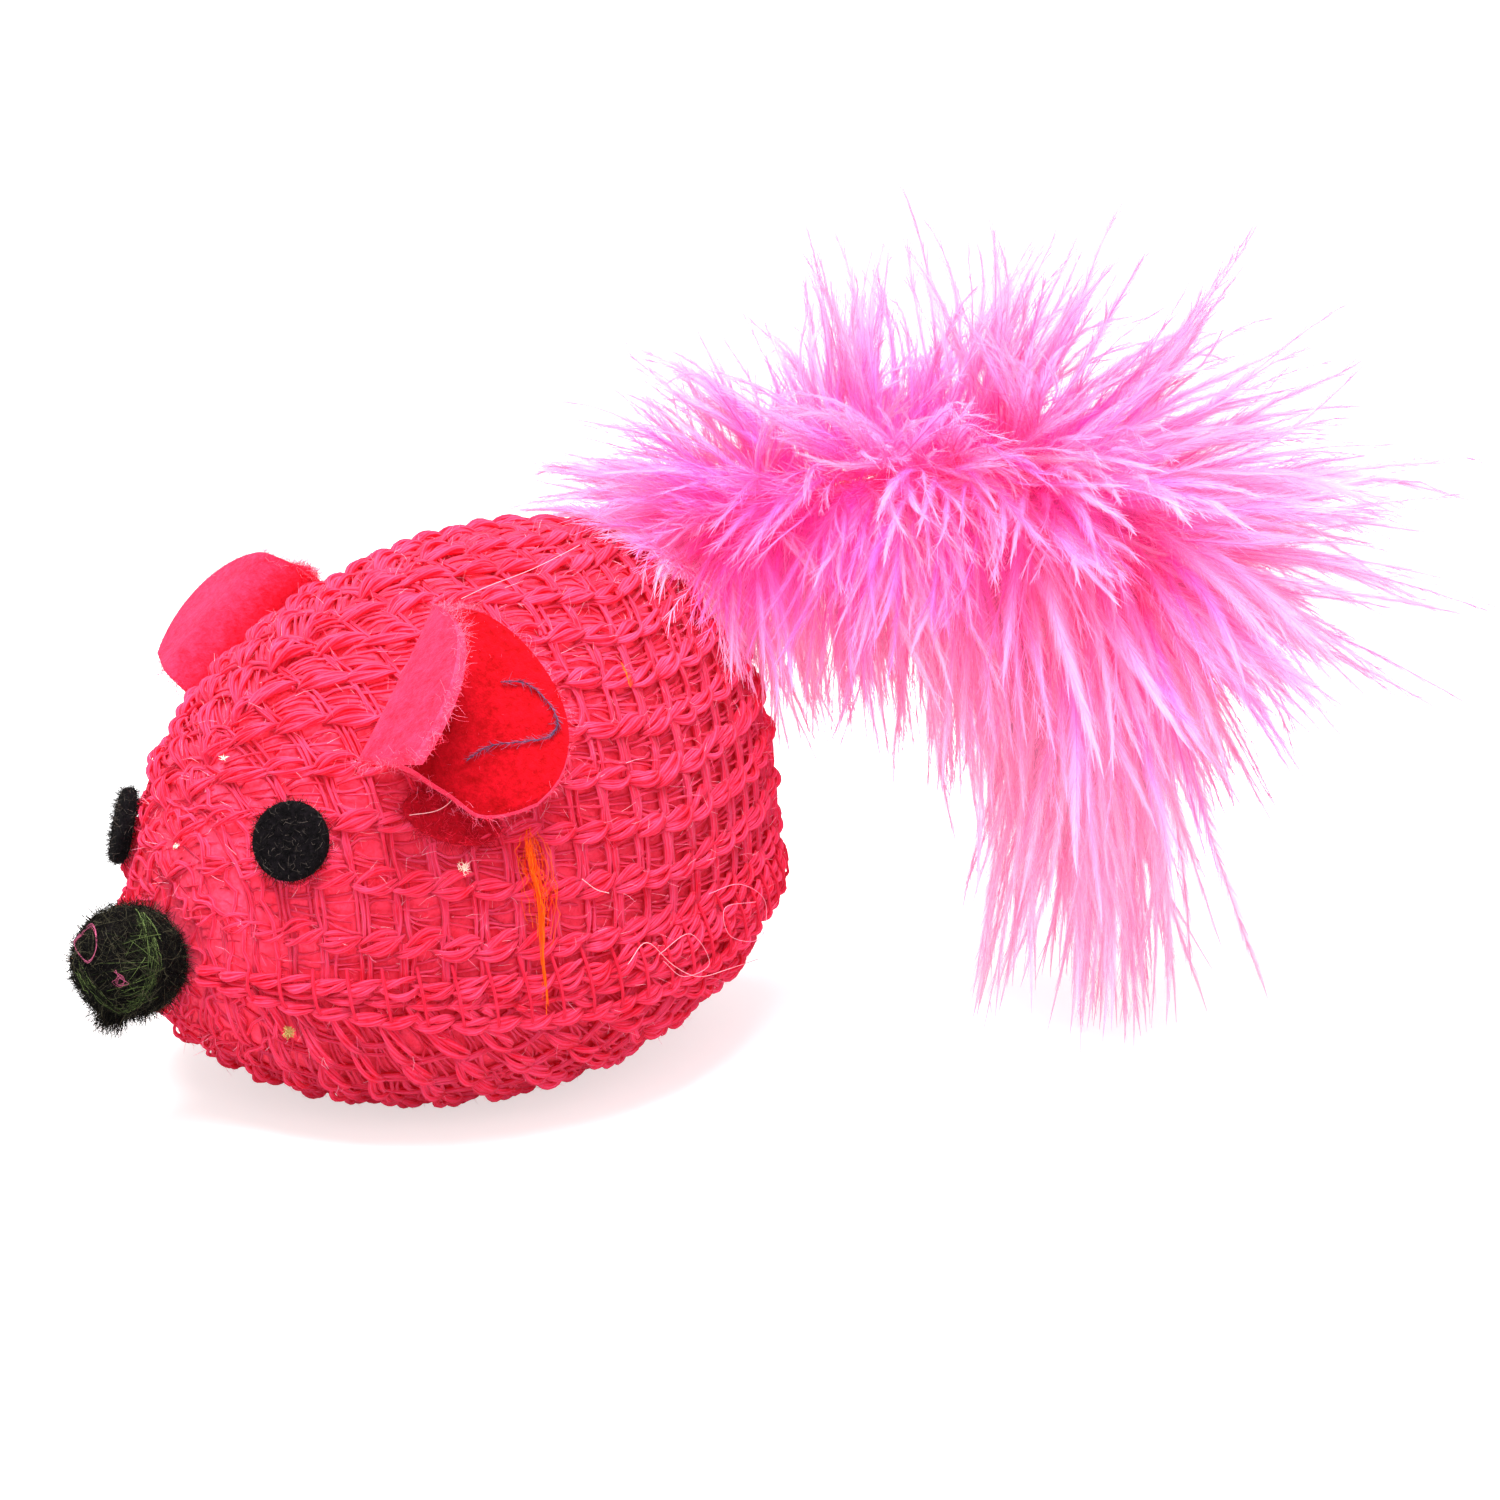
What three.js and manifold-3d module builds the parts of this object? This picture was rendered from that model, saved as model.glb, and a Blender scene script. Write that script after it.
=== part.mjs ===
// A catnip mouse: a knitted cover over a lined and stuffed body, felt ears and eyes, a woolly nose,
// and three downy feathers bound together as a tail. Millimetres, +Z up, nose towards -Y.
import * as THREE from "three";
import { mergeVertices } from "three/addons/utils/BufferGeometryUtils.js";
import Module from "manifold-3d";

const wasm = await Module();
wasm.setup();

// Body
const BODY_LENGTH = 63.5;
const BODY_WIDTH = 50;
const CROWN_RISE = 35.4; // from the seam up to the top of the back
const BELLY_DROP = 13.8; // from the seam down to the belly
const SEAM_SAG = 2.2; // how far the seam hangs between nose and tail
const REST_CUT = 0.5; // how deep the belly is pressed flat
const REST_CENTRE_SHARE = 0.43; // along the body, above the middle of the flat
const SIDE_SHAPE_SHARES = { peak: 0.82, fullness: 0.51 };
const CROWN_SHAPE_SHARES = { peak: 1.25, fullness: 0.306 };
const BELLY_SHAPE_SHARES = { peak: 0.7, fullness: 0.5 };
const SECTION_SHARES = { side: 0.95, crown: 0.92, belly: 0.8 };

// Layers
const KNIT_THICKNESS = 1.4;
const LINING_THICKNESS = 0.5;
const LAYER_GAP = 0.3;
const SEAM_GAP = 0.3;

// Catnip pouch, inside the stuffing
const POUCH_LENGTH = 30;
const POUCH_WIDTH = 24;
const POUCH_HEIGHT = 10;
const POUCH_SHEET_THICKNESS = 0.5;
const POUCH_CENTRE_SHARE = 0.4;
const POUCH_SHAPE_SHARES = { peak: 1, fullness: 0.45 };

// Seam thread
const SEAM_THREAD_DIAMETER = 0.7;
const SEAM_STITCHES = 44;
const SEAM_STITCH_REACH = 1.1; // from the seam to each side
const SEAM_END_SHARE = 0.12; // stitching starts this far round from the nose

// Eyes
const EYE_DIAMETER = 6.6;
const FELT_THICKNESS = 1.2;
const LEFT_EYE = { share: 0.086, turn: 40 };
const RIGHT_EYE = { share: 0.052, turn: 30 }; // glued on by hand, a little lower
const GLUE_THICKNESS = 0.25;
const EYE_GLUE_DIAMETER = 4.4;

// Ears
const EAR_REAR_WIDTH = 12.6;
const EAR_FLAP_WIDTH = 8;
const EAR_FOLD_RADIUS = 2.2;
const EAR_FOLD_TURN = 120;
const EAR_CUP_RADIUS = 45;
// Each ear is glued on by hand: its foot dips towards the tail, it leans away from the head,
// its tip is raked back, and the felt curls in over the head at a radius
const LEFT_EAR_HEIGHT = 17.2;
const RIGHT_EAR_HEIGHT = 12.8;
const LEFT_EAR_CURL_RADIUS = 60;
const RIGHT_EAR_CURL_RADIUS = 86;
const LEFT_EAR = {
  height: LEFT_EAR_HEIGHT,
  curl: LEFT_EAR_CURL_RADIUS,
  share: 0.285,
  turn: 32.8,
  dip: 24,
  lean: -6,
  rake: 15,
};
const RIGHT_EAR = {
  height: RIGHT_EAR_HEIGHT,
  curl: RIGHT_EAR_CURL_RADIUS,
  share: 0.36,
  turn: 28.7,
  dip: 36.9,
  lean: 1.5,
  rake: 16.5,
};
const EAR_FOLD_OFFSET = 5.4; // from the middle of the foot forward to the fold
const EAR_WIDEST_SHARE = 0.33;
const EAR_GLUE_DIAMETER = 5;
const EAR_GLUE_RISE = 3.2; // behind the felt, from its foot to the middle of the dab

// Nose
const NOSE_DIAMETER = 10.2;
const NOSE_SINK = 1.5; // how deep the pompom sits in the gathered knit
const NOSE_LIFT = 0.6; // above the seam
const NOSE_GLUE_TURN = 24; // half angle of the glue dish
const NOSE_LUMP = 0.25;
const NOSE_LUMPS_ROUND = 4;
const NOSE_TUFT = 2.2;
const NOSE_TUFT_WIDTH_SHARE = 0.3;

// Tail
const TAIL_SHARE = 0.86;
const TAIL_BEAD_DIAMETER = 5.2;
const TAIL_BEAD_LIFT = 1.2;
const TAIL_SIDE_TURN = 50; // from straight back towards the mouse's left
const TAIL_START_TURN = 24; // slope of the quills where they leave the bead
const TAIL_END_TURN = 50; // and at their tips
const QUILLS = 3;
const QUILL_LENGTH = 42;
const QUILL_ROOT_DIAMETER = 1;
const QUILL_TIP_DIAMETER = 0.4;
const BINDING_THREAD_DIAMETER = 0.5;
const BINDING_PITCH = 1;
const BINDING_LOOPS = 4;
const BARB_ROWS = 13;
const BARB_COLUMNS = 4;
const BARB_SECTOR = 100; // each feather fills this much of the circle
const UPPER_SECTOR = 90; // which way each feather faces: across the tail towards the left is 0
const NEAR_SECTOR = -30;
const FAR_SECTOR = 210;
const BARB_WIDTH = 3.4;
const BARB_ROOT_WIDTH = 0.3;
const BARB_THICKNESS = 0.34;
const UPPER_BARB_LENGTH = 31;
const LOWER_BARB_LENGTH = 36.5;
const BARB_STATION_SHARES = [0, 0.25, 0.5, 0.75, 1];
const UPPER_LENGTH_SHARES = [0.5, 0.68, 0.82, 0.94, 1];
const LOWER_LENGTH_SHARES = [0.1, 0.26, 0.66, 0.92, 0.96];
const UPPER_START_SHARE = 0.12;
const LOWER_START_SHARE = 0.2;
const BARB_SWEEP_SHARES = { root: -0.5, tip: 1 };
const BARB_SAG_SHARE = 0.45;

const HALF = 0.5;
const BODY_STEPS = 18;
const TURN_STEPS = 16;
const POUCH_STEPS = 10;
const POUCH_TURNS = 8;
const REST_STEPS = 400;
const NOSE_SIDES = 20;
const NOSE_RINGS = 14;
const GLUE_DISH_STEPS = 4;
const SEAT_SIDES = 20;
const BEAD_SIDES = 16;
const EYE_SIDES = 28;
const GLUE_PAD_SIDES = 14;
const EAR_HEIGHT_STEPS = 10;
const EAR_FLAP_STEPS = 9;
const EAR_REAR_STEPS = 7;
const QUILL_STEPS = 14;
const QUILL_SIDES = 6;
const SEAM_THREAD_SIDES = 5;
const BINDING_SIDES = 6;
const LOOP_STEPS = 16;
const PROBE_SHARE = 1e-3;
const MERGE_DISTANCE = 1e-4;

const radians = THREE.MathUtils.degToRad;
const vector = (x, y, z) => new THREE.Vector3(x, y, z);
const X_AXIS = vector(1, 0, 0);
const Z_AXIS = vector(0, 0, 1);
const NOSE_TUFT_WAY = vector(-0.4, -0.4, -0.8).normalize(); // the unpicked end of its winding

const range = (count) => Array.from({ length: count }, (_, k) => k);
// Shares from 0 to 1, packed closely towards both ends
const roundedShares = (steps) =>
  range(steps + 1).map((k) => HALF - HALF * Math.cos((Math.PI * k) / steps));

// Value at a share along evenly or unevenly placed stations
function along(stations, values, share) {
  const last = stations.length - 1;
  const k = Math.min(last - 1, Math.max(0, stations.findIndex((s) => s > share) - 1));
  const from = share >= stations[last] ? last - 1 : k;
  const part = (share - stations[from]) / (stations[from + 1] - stations[from]);
  return THREE.MathUtils.lerp(values[from], values[from + 1], THREE.MathUtils.clamp(part, 0, 1));
}

// A closed solid from a geometry; faces that collapsed to a line are dropped, and it is turned to face out
function solidOf(geometry) {
  const bare = new THREE.BufferGeometry().setAttribute("position", geometry.getAttribute("position"));
  bare.setIndex(geometry.index);
  const merged = mergeVertices(bare, MERGE_DISTANCE);
  const corners = merged.index.array;
  const kept = [];
  for (let k = 0; k < corners.length; k += 3) {
    const [a, b, c] = corners.subarray(k, k + 3);
    if (a !== b && b !== c && c !== a) kept.push(a, b, c);
  }
  const build = (triVerts) =>
    new wasm.Manifold(
      new wasm.Mesh({
        numProp: 3,
        vertProperties: merged.getAttribute("position").array,
        triVerts: Uint32Array.from(triVerts),
      }),
    );
  const made = build(kept);
  return made.volume() < 0 ? build(kept.reverse()) : made;
}

// A skin through rings of points, with both ends closed; a ring may shrink to a point or a line
function loft(rings) {
  const count = rings[0].length;
  const geometry = new THREE.BufferGeometry().setFromPoints(rings.flat());
  const index = [];
  for (let r = 0; r + 1 < rings.length; r += 1) {
    for (let k = 0; k < count; k += 1) {
      const a = r * count + k;
      const b = r * count + ((k + 1) % count);
      index.push(a, b, b + count, a, b + count, a + count);
    }
  }
  const last = (rings.length - 1) * count;
  for (let k = 1; k + 1 < count; k += 1) {
    index.push(0, k + 1, k, last, last + k, last + k + 1);
  }
  geometry.setIndex(index);
  return solidOf(geometry);
}

function meshOf(name, solid, material) {
  const { vertProperties, triVerts, numProp } = solid.getMesh();
  const positions = new Float32Array((vertProperties.length / numProp) * 3);
  for (let k = 0; k * numProp < vertProperties.length; k += 1) {
    positions.set(vertProperties.subarray(k * numProp, k * numProp + 3), k * 3);
  }
  const geometry = new THREE.BufferGeometry();
  geometry.setAttribute("position", new THREE.BufferAttribute(positions, 3));
  geometry.setIndex(new THREE.BufferAttribute(triVerts, 1));
  geometry.computeVertexNormals();
  const mesh = new THREE.Mesh(geometry, material);
  mesh.name = name;
  return mesh;
}

// A tube of a given radius through points, its section carried along without twisting
function tube(points, radiusAt, sides) {
  const count = points.length;
  let side = null;
  return loft(
    points.map((point, k) => {
      const before = points[Math.max(0, k - 1)];
      const after = points[Math.min(count - 1, k + 1)];
      const heading = after.clone().sub(before).normalize();
      const seed = side ?? (Math.abs(heading.z) < HALF ? Z_AXIS : X_AXIS);
      side = seed.clone().addScaledVector(heading, -seed.dot(heading)).normalize();
      const other = heading.clone().cross(side);
      return range(sides).map((n) => {
        const turn = (2 * Math.PI * n) / sides;
        return point
          .clone()
          .addScaledVector(side, radiusAt(k) * Math.cos(turn))
          .addScaledVector(other, radiusAt(k) * Math.sin(turn));
      });
    }),
  );
}

function ball(centre, radius, segments) {
  const geometry = new THREE.SphereGeometry(radius, segments, segments / 2);
  geometry.translate(centre.x, centre.y, centre.z);
  return solidOf(geometry);
}

// 0 at both ends, 1 at the peak; a small fullness makes a blunt form
const swell = (share, shape) =>
  Math.sin(Math.PI * THREE.MathUtils.clamp(share, 0, 1) ** shape.peak) ** shape.fullness || 0;
const signedPower = (value, power) => Math.sign(value) * Math.abs(value) ** power;

// The seam lies where the lowest belly point, pressed flat, meets the table
const sagAt = (share) => SEAM_SAG * Math.sin(Math.PI * share);
const bellyDepths = range(REST_STEPS)
  .map((k) => k / REST_STEPS)
  .map((share) => sagAt(share) + BELLY_DROP * swell(share, BELLY_SHAPE_SHARES));
const SEAM_HEIGHT = Math.max(...bellyDepths) - REST_CUT;

// A point of the body: share runs from nose to tail, turn round it from the mouse's left over the top
function bodyPoint(share, turn, inset = 0, lift = 0) {
  const cos = Math.cos(turn);
  const sin = Math.sin(turn);
  const half = (BODY_WIDTH / 2 - inset) * swell(share, SIDE_SHAPE_SHARES);
  const rise = (CROWN_RISE - inset) * swell(share, CROWN_SHAPE_SHARES);
  const drop = (BELLY_DROP - inset) * swell(share, BELLY_SHAPE_SHARES);
  const height =
    sin > 0 ? rise * sin ** SECTION_SHARES.crown : -drop * Math.abs(sin) ** SECTION_SHARES.belly;
  return vector(
    half * signedPower(cos, SECTION_SHARES.side),
    (BODY_LENGTH - 2 * inset) * (share - HALF) + BODY_LENGTH * (HALF - REST_CENTRE_SHARE),
    Math.max(0, SEAM_HEIGHT - sagAt(share) + height + lift),
  );
}

// Outward direction, and the two steps along the surface for one unit of share and of turn
function bodyFrame(share, turn) {
  const rearward = bodyPoint(share + PROBE_SHARE, turn).sub(bodyPoint(share - PROBE_SHARE, turn));
  const upward = bodyPoint(share, turn + PROBE_SHARE).sub(bodyPoint(share, turn - PROBE_SHARE));
  const out = rearward.clone().cross(upward).normalize();
  return {
    out,
    rearward: rearward.divideScalar(2 * PROBE_SHARE),
    upward: upward.divideScalar(2 * PROBE_SHARE),
  };
}

// Half of a hollow skin between two insets, over the turns from start to start + 180 degrees
function halfSkin(pointAt, start, outer, inner, lift, shares, turns) {
  const arc = (share, inset) =>
    range(turns + 1).map((k) => pointAt(share, start + (Math.PI * k) / turns, inset, lift));
  return loft(shares.map((share) => [...arc(share, outer), ...arc(share, inner).reverse()]));
}

// Half of a solid filling, flat across the seam
function halfFilling(pointAt, start, inset, lift, shares, turns) {
  return loft(
    shares.map((share) =>
      range(turns + 1).map((k) => pointAt(share, start + (Math.PI * k) / turns, inset, lift)),
    ),
  );
}

function wholeFilling(pointAt, inset, shares, turns) {
  return loft(
    shares.map((share) => range(turns).map((k) => pointAt(share, (2 * Math.PI * k) / turns, inset, 0))),
  );
}

const liningInset = KNIT_THICKNESS + LAYER_GAP;
const stuffingInset = liningInset + LINING_THICKNESS + LAYER_GAP;
const bodyShares = roundedShares(BODY_STEPS);
const pouchShares = roundedShares(POUCH_STEPS);

// Nose: a pompom in a dish of glue, sunk in the gathered end of the knit
const noseRadius = NOSE_DIAMETER / 2;
const noseCentre = bodyPoint(0, 0).add(vector(0, NOSE_SINK - noseRadius, NOSE_LIFT));
const glueInner = noseRadius + NOSE_LUMP + LAYER_GAP;
const glueOuter = glueInner + GLUE_THICKNESS;
const noseSeat = ball(noseCentre, glueOuter + LAYER_GAP, SEAT_SIDES);

function nosePompom() {
  const geometry = new THREE.SphereGeometry(noseRadius, NOSE_SIDES, NOSE_RINGS);
  const places = geometry.getAttribute("position");
  const way = vector(0, 0, 0);
  range(places.count).forEach((k) => {
    way.fromBufferAttribute(places, k).normalize();
    const ridges = Math.sin(NOSE_LUMPS_ROUND * (way.x + way.y));
    const lumps = ridges * Math.cos(NOSE_LUMPS_ROUND * (way.z - way.x));
    const tuft = Math.exp(-way.distanceToSquared(NOSE_TUFT_WAY) / NOSE_TUFT_WIDTH_SHARE ** 2);
    way.multiplyScalar(noseRadius + NOSE_LUMP * lumps + NOSE_TUFT * tuft).add(noseCentre);
    places.setXYZ(k, way.x, way.y, way.z);
  });
  return solidOf(geometry);
}

function noseGlue() {
  const profile = (radius) =>
    range(GLUE_DISH_STEPS + 1).map((k) => {
      const turn = (radians(NOSE_GLUE_TURN) * k) / GLUE_DISH_STEPS;
      return new THREE.Vector2(radius * Math.sin(turn), radius * Math.cos(turn));
    });
  const outline = [...profile(glueOuter), ...profile(glueInner).reverse()];
  const geometry = new THREE.LatheGeometry(outline, SEAT_SIDES);
  geometry.translate(noseCentre.x, noseCentre.y, noseCentre.z);
  return solidOf(geometry);
}

// Tail root: a bead of glue in the gathered hole at the top of the rump
const tailFrame = bodyFrame(TAIL_SHARE, Math.PI / 2);
const beadRadius = TAIL_BEAD_DIAMETER / 2;
const tailRoot = bodyPoint(TAIL_SHARE, Math.PI / 2).addScaledVector(tailFrame.out, TAIL_BEAD_LIFT);
const tailSeat = ball(tailRoot, beadRadius + LAYER_GAP, BEAD_SIDES);

// Knit cover, lining and stuffing, each in an upper and a lower half that meet at the seam
function bodyHalf(maker, start, lift) {
  return maker(start, lift).subtract(noseSeat).subtract(tailSeat);
}
const knitHalf = (start, lift) =>
  halfSkin(bodyPoint, start, 0, KNIT_THICKNESS, lift, bodyShares, TURN_STEPS);
const liningHalf = (start, lift) =>
  halfSkin(bodyPoint, start, liningInset, liningInset + LINING_THICKNESS, lift, bodyShares, TURN_STEPS);
const pouchSpace = wholeFilling(pouchPoint, -LAYER_GAP, pouchShares, 2 * POUCH_TURNS);
const stuffingHalf = (start, lift) =>
  halfFilling(bodyPoint, start, stuffingInset, lift, bodyShares, TURN_STEPS).subtract(pouchSpace);

// Pouch: a flat pillow that lies in the stuffing at seam height
function pouchPoint(share, turn, inset, lift) {
  const full = swell(share, POUCH_SHAPE_SHARES);
  return vector(
    (POUCH_WIDTH / 2 - inset) * full * Math.cos(turn),
    (POUCH_LENGTH - 2 * inset) * (share - HALF) + BODY_LENGTH * (POUCH_CENTRE_SHARE - REST_CENTRE_SHARE),
    SEAM_HEIGHT - sagAt(POUCH_CENTRE_SHARE) + (POUCH_HEIGHT / 2 - inset) * full * Math.sin(turn) + lift,
  );
}
const catnipFilling = () =>
  wholeFilling(pouchPoint, POUCH_SHEET_THICKNESS + LAYER_GAP, pouchShares, 2 * POUCH_TURNS);
const pouchHalf = (start, lift) =>
  halfSkin(pouchPoint, start, 0, POUCH_SHEET_THICKNESS, lift, pouchShares, POUCH_TURNS);

// Whip stitching to and fro across the seam, from the nose round the rump and back
function seamThread() {
  const reach = SEAM_THREAD_DIAMETER / 2 + LAYER_GAP;
  const points = range(2 * SEAM_STITCHES + 1).map((k) => {
    const round = THREE.MathUtils.lerp(SEAM_END_SHARE, 2 - SEAM_END_SHARE, k / (2 * SEAM_STITCHES));
    const share = HALF - HALF * Math.cos(Math.PI * round);
    const turn = round > 1 ? Math.PI : 0;
    const rim = bodyPoint(share, turn);
    const flatOut = vector(rim.x, 0, 0)
      .multiplyScalar(2 / BODY_WIDTH)
      .add(vector(0, (2 * share - 1) ** 3, 0))
      .normalize();
    return rim
      .addScaledVector(flatOut, reach)
      .add(vector(0, 0, k % 2 ? SEAM_STITCH_REACH : -SEAM_STITCH_REACH));
  });
  return tube(points, () => SEAM_THREAD_DIAMETER / 2, SEAM_THREAD_SIDES);
}

// A round pad that follows the body: eyes and glue dabs. Profile pairs are shares of radius and height.
const PAD_PROFILE_SHARES = [
  [0, 0],
  [0.9, 0],
  [1, 0.35],
  [0.98, 0.8],
  [0.88, 1],
  [0.5, 1],
  [0, 1],
];
function padOnBody(share, turn, diameter, bottom, thickness, segments) {
  const { rearward, upward } = bodyFrame(share, turn);
  const radius = diameter / 2;
  return loft(
    PAD_PROFILE_SHARES.map(([radiusShare, heightShare]) =>
      range(segments).map((k) => {
        const round = (2 * Math.PI * k) / segments;
        const padShare = share + (radius * radiusShare * Math.cos(round)) / rearward.length();
        const padTurn = turn + (radius * radiusShare * Math.sin(round)) / upward.length();
        return bodyPoint(padShare, padTurn).addScaledVector(
          bodyFrame(padShare, padTurn).out,
          bottom + thickness * heightShare,
        );
      }),
    ),
  );
}

// Ear: a felt disc whose front third is folded over outwards, standing on its straight foot
function earPlace({ share, turn, dip, lean }) {
  const { out, rearward } = bodyFrame(share, radians(turn));
  const alongFoot = rearward.normalize().applyAxisAngle(out, -radians(dip));
  const backLift = LAYER_GAP + GLUE_THICKNESS + LAYER_GAP + FELT_THICKNESS / 2;
  return {
    foot: bodyPoint(share, radians(turn)).addScaledVector(out, backLift),
    alongFoot,
    up: out.clone().cross(alongFoot).applyAxisAngle(alongFoot, radians(lean)),
    out: out.clone().applyAxisAngle(alongFoot, radians(lean)),
  };
}

// The middle of an ear's dab of glue, above the foot and out of sight behind the felt
function earGlueSpot({ share, turn, dip }) {
  const { rearward, upward } = bodyFrame(share, radians(turn));
  return {
    share: share + (EAR_GLUE_RISE * Math.sin(radians(dip))) / rearward.length(),
    turn: turn + THREE.MathUtils.radToDeg((EAR_GLUE_RISE * Math.cos(radians(dip))) / upward.length()),
  };
}

// Where the felt lies at a distance from the fold: negative on the front flap, and which way it faces
function earSection(distance, offset) {
  const foldLength = EAR_FOLD_RADIUS * radians(EAR_FOLD_TURN);
  if (distance >= 0) {
    const turn = distance / EAR_CUP_RADIUS;
    const radius = EAR_CUP_RADIUS - offset;
    return { rear: radius * Math.sin(turn), out: EAR_CUP_RADIUS - radius * Math.cos(turn) };
  }
  const turn = Math.min(-distance / EAR_FOLD_RADIUS, radians(EAR_FOLD_TURN));
  const straight = Math.max(0, -distance - foldLength);
  const radius = EAR_FOLD_RADIUS - offset;
  return {
    rear: -radius * Math.sin(turn) - straight * Math.cos(turn),
    out: EAR_FOLD_RADIUS - radius * Math.cos(turn) + straight * Math.sin(turn),
  };
}

function ear(place) {
  const { foot, alongFoot, up, out: facing } = earPlace(place);
  const rings = range(EAR_HEIGHT_STEPS + 1).map((k) => {
    const share = Math.sin((Math.PI / 2) * (k / EAR_HEIGHT_STEPS));
    const width = Math.sqrt(
      Math.max(0, 1 - ((share - EAR_WIDEST_SHARE) / (1 - EAR_WIDEST_SHARE)) ** 2),
    );
    const distances = [
      ...range(EAR_FLAP_STEPS).map((n) => -EAR_FLAP_WIDTH * width * (1 - n / EAR_FLAP_STEPS)),
      ...range(EAR_REAR_STEPS + 1).map((n) => (EAR_REAR_WIDTH * width * n) / EAR_REAR_STEPS),
    ];
    const height = place.height * share;
    const side = (offset) =>
      distances.map((distance) => {
        const { rear, out } = earSection(distance, offset);
        return foot
          .clone()
          .addScaledVector(alongFoot, rear - EAR_FOLD_OFFSET + height * Math.tan(radians(place.rake)))
          .addScaledVector(facing, out - height ** 2 / (2 * place.curl))
          .addScaledVector(up, height);
      });
    return [...side(-FELT_THICKNESS / 2), ...side(FELT_THICKNESS / 2).reverse()];
  });
  return loft(rings);
}

// Tail quills: they rise from the bead, bend over and droop, all in one upright plane
const tailWay = vector(Math.sin(radians(TAIL_SIDE_TURN)), Math.cos(radians(TAIL_SIDE_TURN)), 0);
const tailAcross = vector(tailWay.y, -tailWay.x, 0);
const quillSlope = (share) => radians(TAIL_START_TURN - (TAIL_START_TURN + TAIL_END_TURN) * share ** 2);
const slopeWay = (slope) =>
  tailWay.clone().multiplyScalar(Math.cos(slope)).addScaledVector(Z_AXIS, Math.sin(slope));
const quillStart = tailRoot.clone().addScaledVector(slopeWay(quillSlope(0)), beadRadius + LAYER_GAP);
const quillStations = range(QUILL_STEPS).reduce(
  (points, k) => {
    const way = slopeWay(quillSlope((k + HALF) / QUILL_STEPS));
    return [...points, points[k].clone().addScaledVector(way, QUILL_LENGTH / QUILL_STEPS)];
  },
  [quillStart],
);
const quillSpacing = (QUILL_ROOT_DIAMETER + LAYER_GAP) / (2 * Math.sin(Math.PI / QUILLS));

// Directions at a share of the quills: forwards, upwards in the tail's plane, and across it
function quillFrame(share) {
  const slope = quillSlope(share);
  return {
    forward: slopeWay(slope),
    up: slopeWay(slope + Math.PI / 2),
    across: tailAcross,
  };
}
function quillPoint(share, sector) {
  const place = share * QUILL_STEPS;
  const k = Math.min(QUILL_STEPS - 1, Math.floor(place));
  const { up, across } = quillFrame(share);
  return quillStations[k]
    .clone()
    .lerp(quillStations[k + 1], place - k)
    .addScaledVector(across, quillSpacing * Math.cos(sector))
    .addScaledVector(up, quillSpacing * Math.sin(sector));
}

// A downy barb: a thin leaf from the quill's middle, widest half way, that sags to a point
function barb(share, sector, turn, length) {
  const { forward, up, across } = quillFrame(share);
  const radial = across.clone().multiplyScalar(Math.cos(turn)).addScaledVector(up, Math.sin(turn));
  const sweep = THREE.MathUtils.lerp(BARB_SWEEP_SHARES.root, BARB_SWEEP_SHARES.tip, share);
  const way = radial
    .clone()
    .addScaledVector(forward, sweep)
    .addScaledVector(Z_AXIS, -BARB_SAG_SHARE * (1 - Math.sin(turn)) * HALF)
    .normalize();
  const wide = forward.clone().cross(radial).cross(way).cross(way).normalize();
  const thick = way.clone().cross(wide);
  const root = quillPoint(share, sector);
  const ring = (reach, width, thickness) => {
    const middle = root
      .clone()
      .addScaledVector(way, length * reach)
      .addScaledVector(Z_AXIS, -length * BARB_SAG_SHARE * HALF * reach ** 2);
    return [
      middle.clone().addScaledVector(wide, width / 2),
      middle.clone().addScaledVector(thick, thickness / 2),
      middle.clone().addScaledVector(wide, -width / 2),
      middle.clone().addScaledVector(thick, -thickness / 2),
    ];
  };
  return loft([
    ring(0, BARB_ROOT_WIDTH, BARB_THICKNESS),
    ring(HALF, BARB_WIDTH, BARB_THICKNESS),
    ring(1, 0, 0),
  ]);
}

function feather(sector, startShare, longest, lengthShares) {
  const quill = tube(
    range(QUILL_STEPS + 1).map((k) => quillPoint(k / QUILL_STEPS, sector)),
    (k) => THREE.MathUtils.lerp(QUILL_ROOT_DIAMETER, QUILL_TIP_DIAMETER, k / QUILL_STEPS) / 2,
    QUILL_SIDES,
  );
  const barbs = range(BARB_ROWS).flatMap((row) => {
    const share = THREE.MathUtils.lerp(startShare, 1, row / (BARB_ROWS - 1));
    const stagger = row % 2 ? HALF : 0;
    return range(BARB_COLUMNS).map((column) => {
      const across = (column + stagger) / (BARB_COLUMNS - HALF) - HALF;
      const length = longest * along(BARB_STATION_SHARES, lengthShares, share);
      return barb(share, sector, sector + radians(BARB_SECTOR) * across, length);
    });
  });
  return wasm.Manifold.union([quill, ...barbs]);
}

// Binding: one unbroken thread wound round the three quills where they leave the bead
function bindingPoints() {
  const { forward, up, across } = quillFrame(0);
  const radius = quillSpacing + QUILL_ROOT_DIAMETER / 2 + LAYER_GAP + BINDING_THREAD_DIAMETER / 2;
  const start = quillStart.clone().addScaledVector(forward, BINDING_THREAD_DIAMETER);
  return range(BINDING_LOOPS * LOOP_STEPS + 1).map((k) => {
    const turn = (2 * Math.PI * k) / LOOP_STEPS;
    return start
      .clone()
      .addScaledVector(across, radius * Math.cos(turn))
      .addScaledVector(up, radius * Math.sin(turn))
      .addScaledVector(forward, (BINDING_PITCH * k) / LOOP_STEPS);
  });
}
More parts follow.
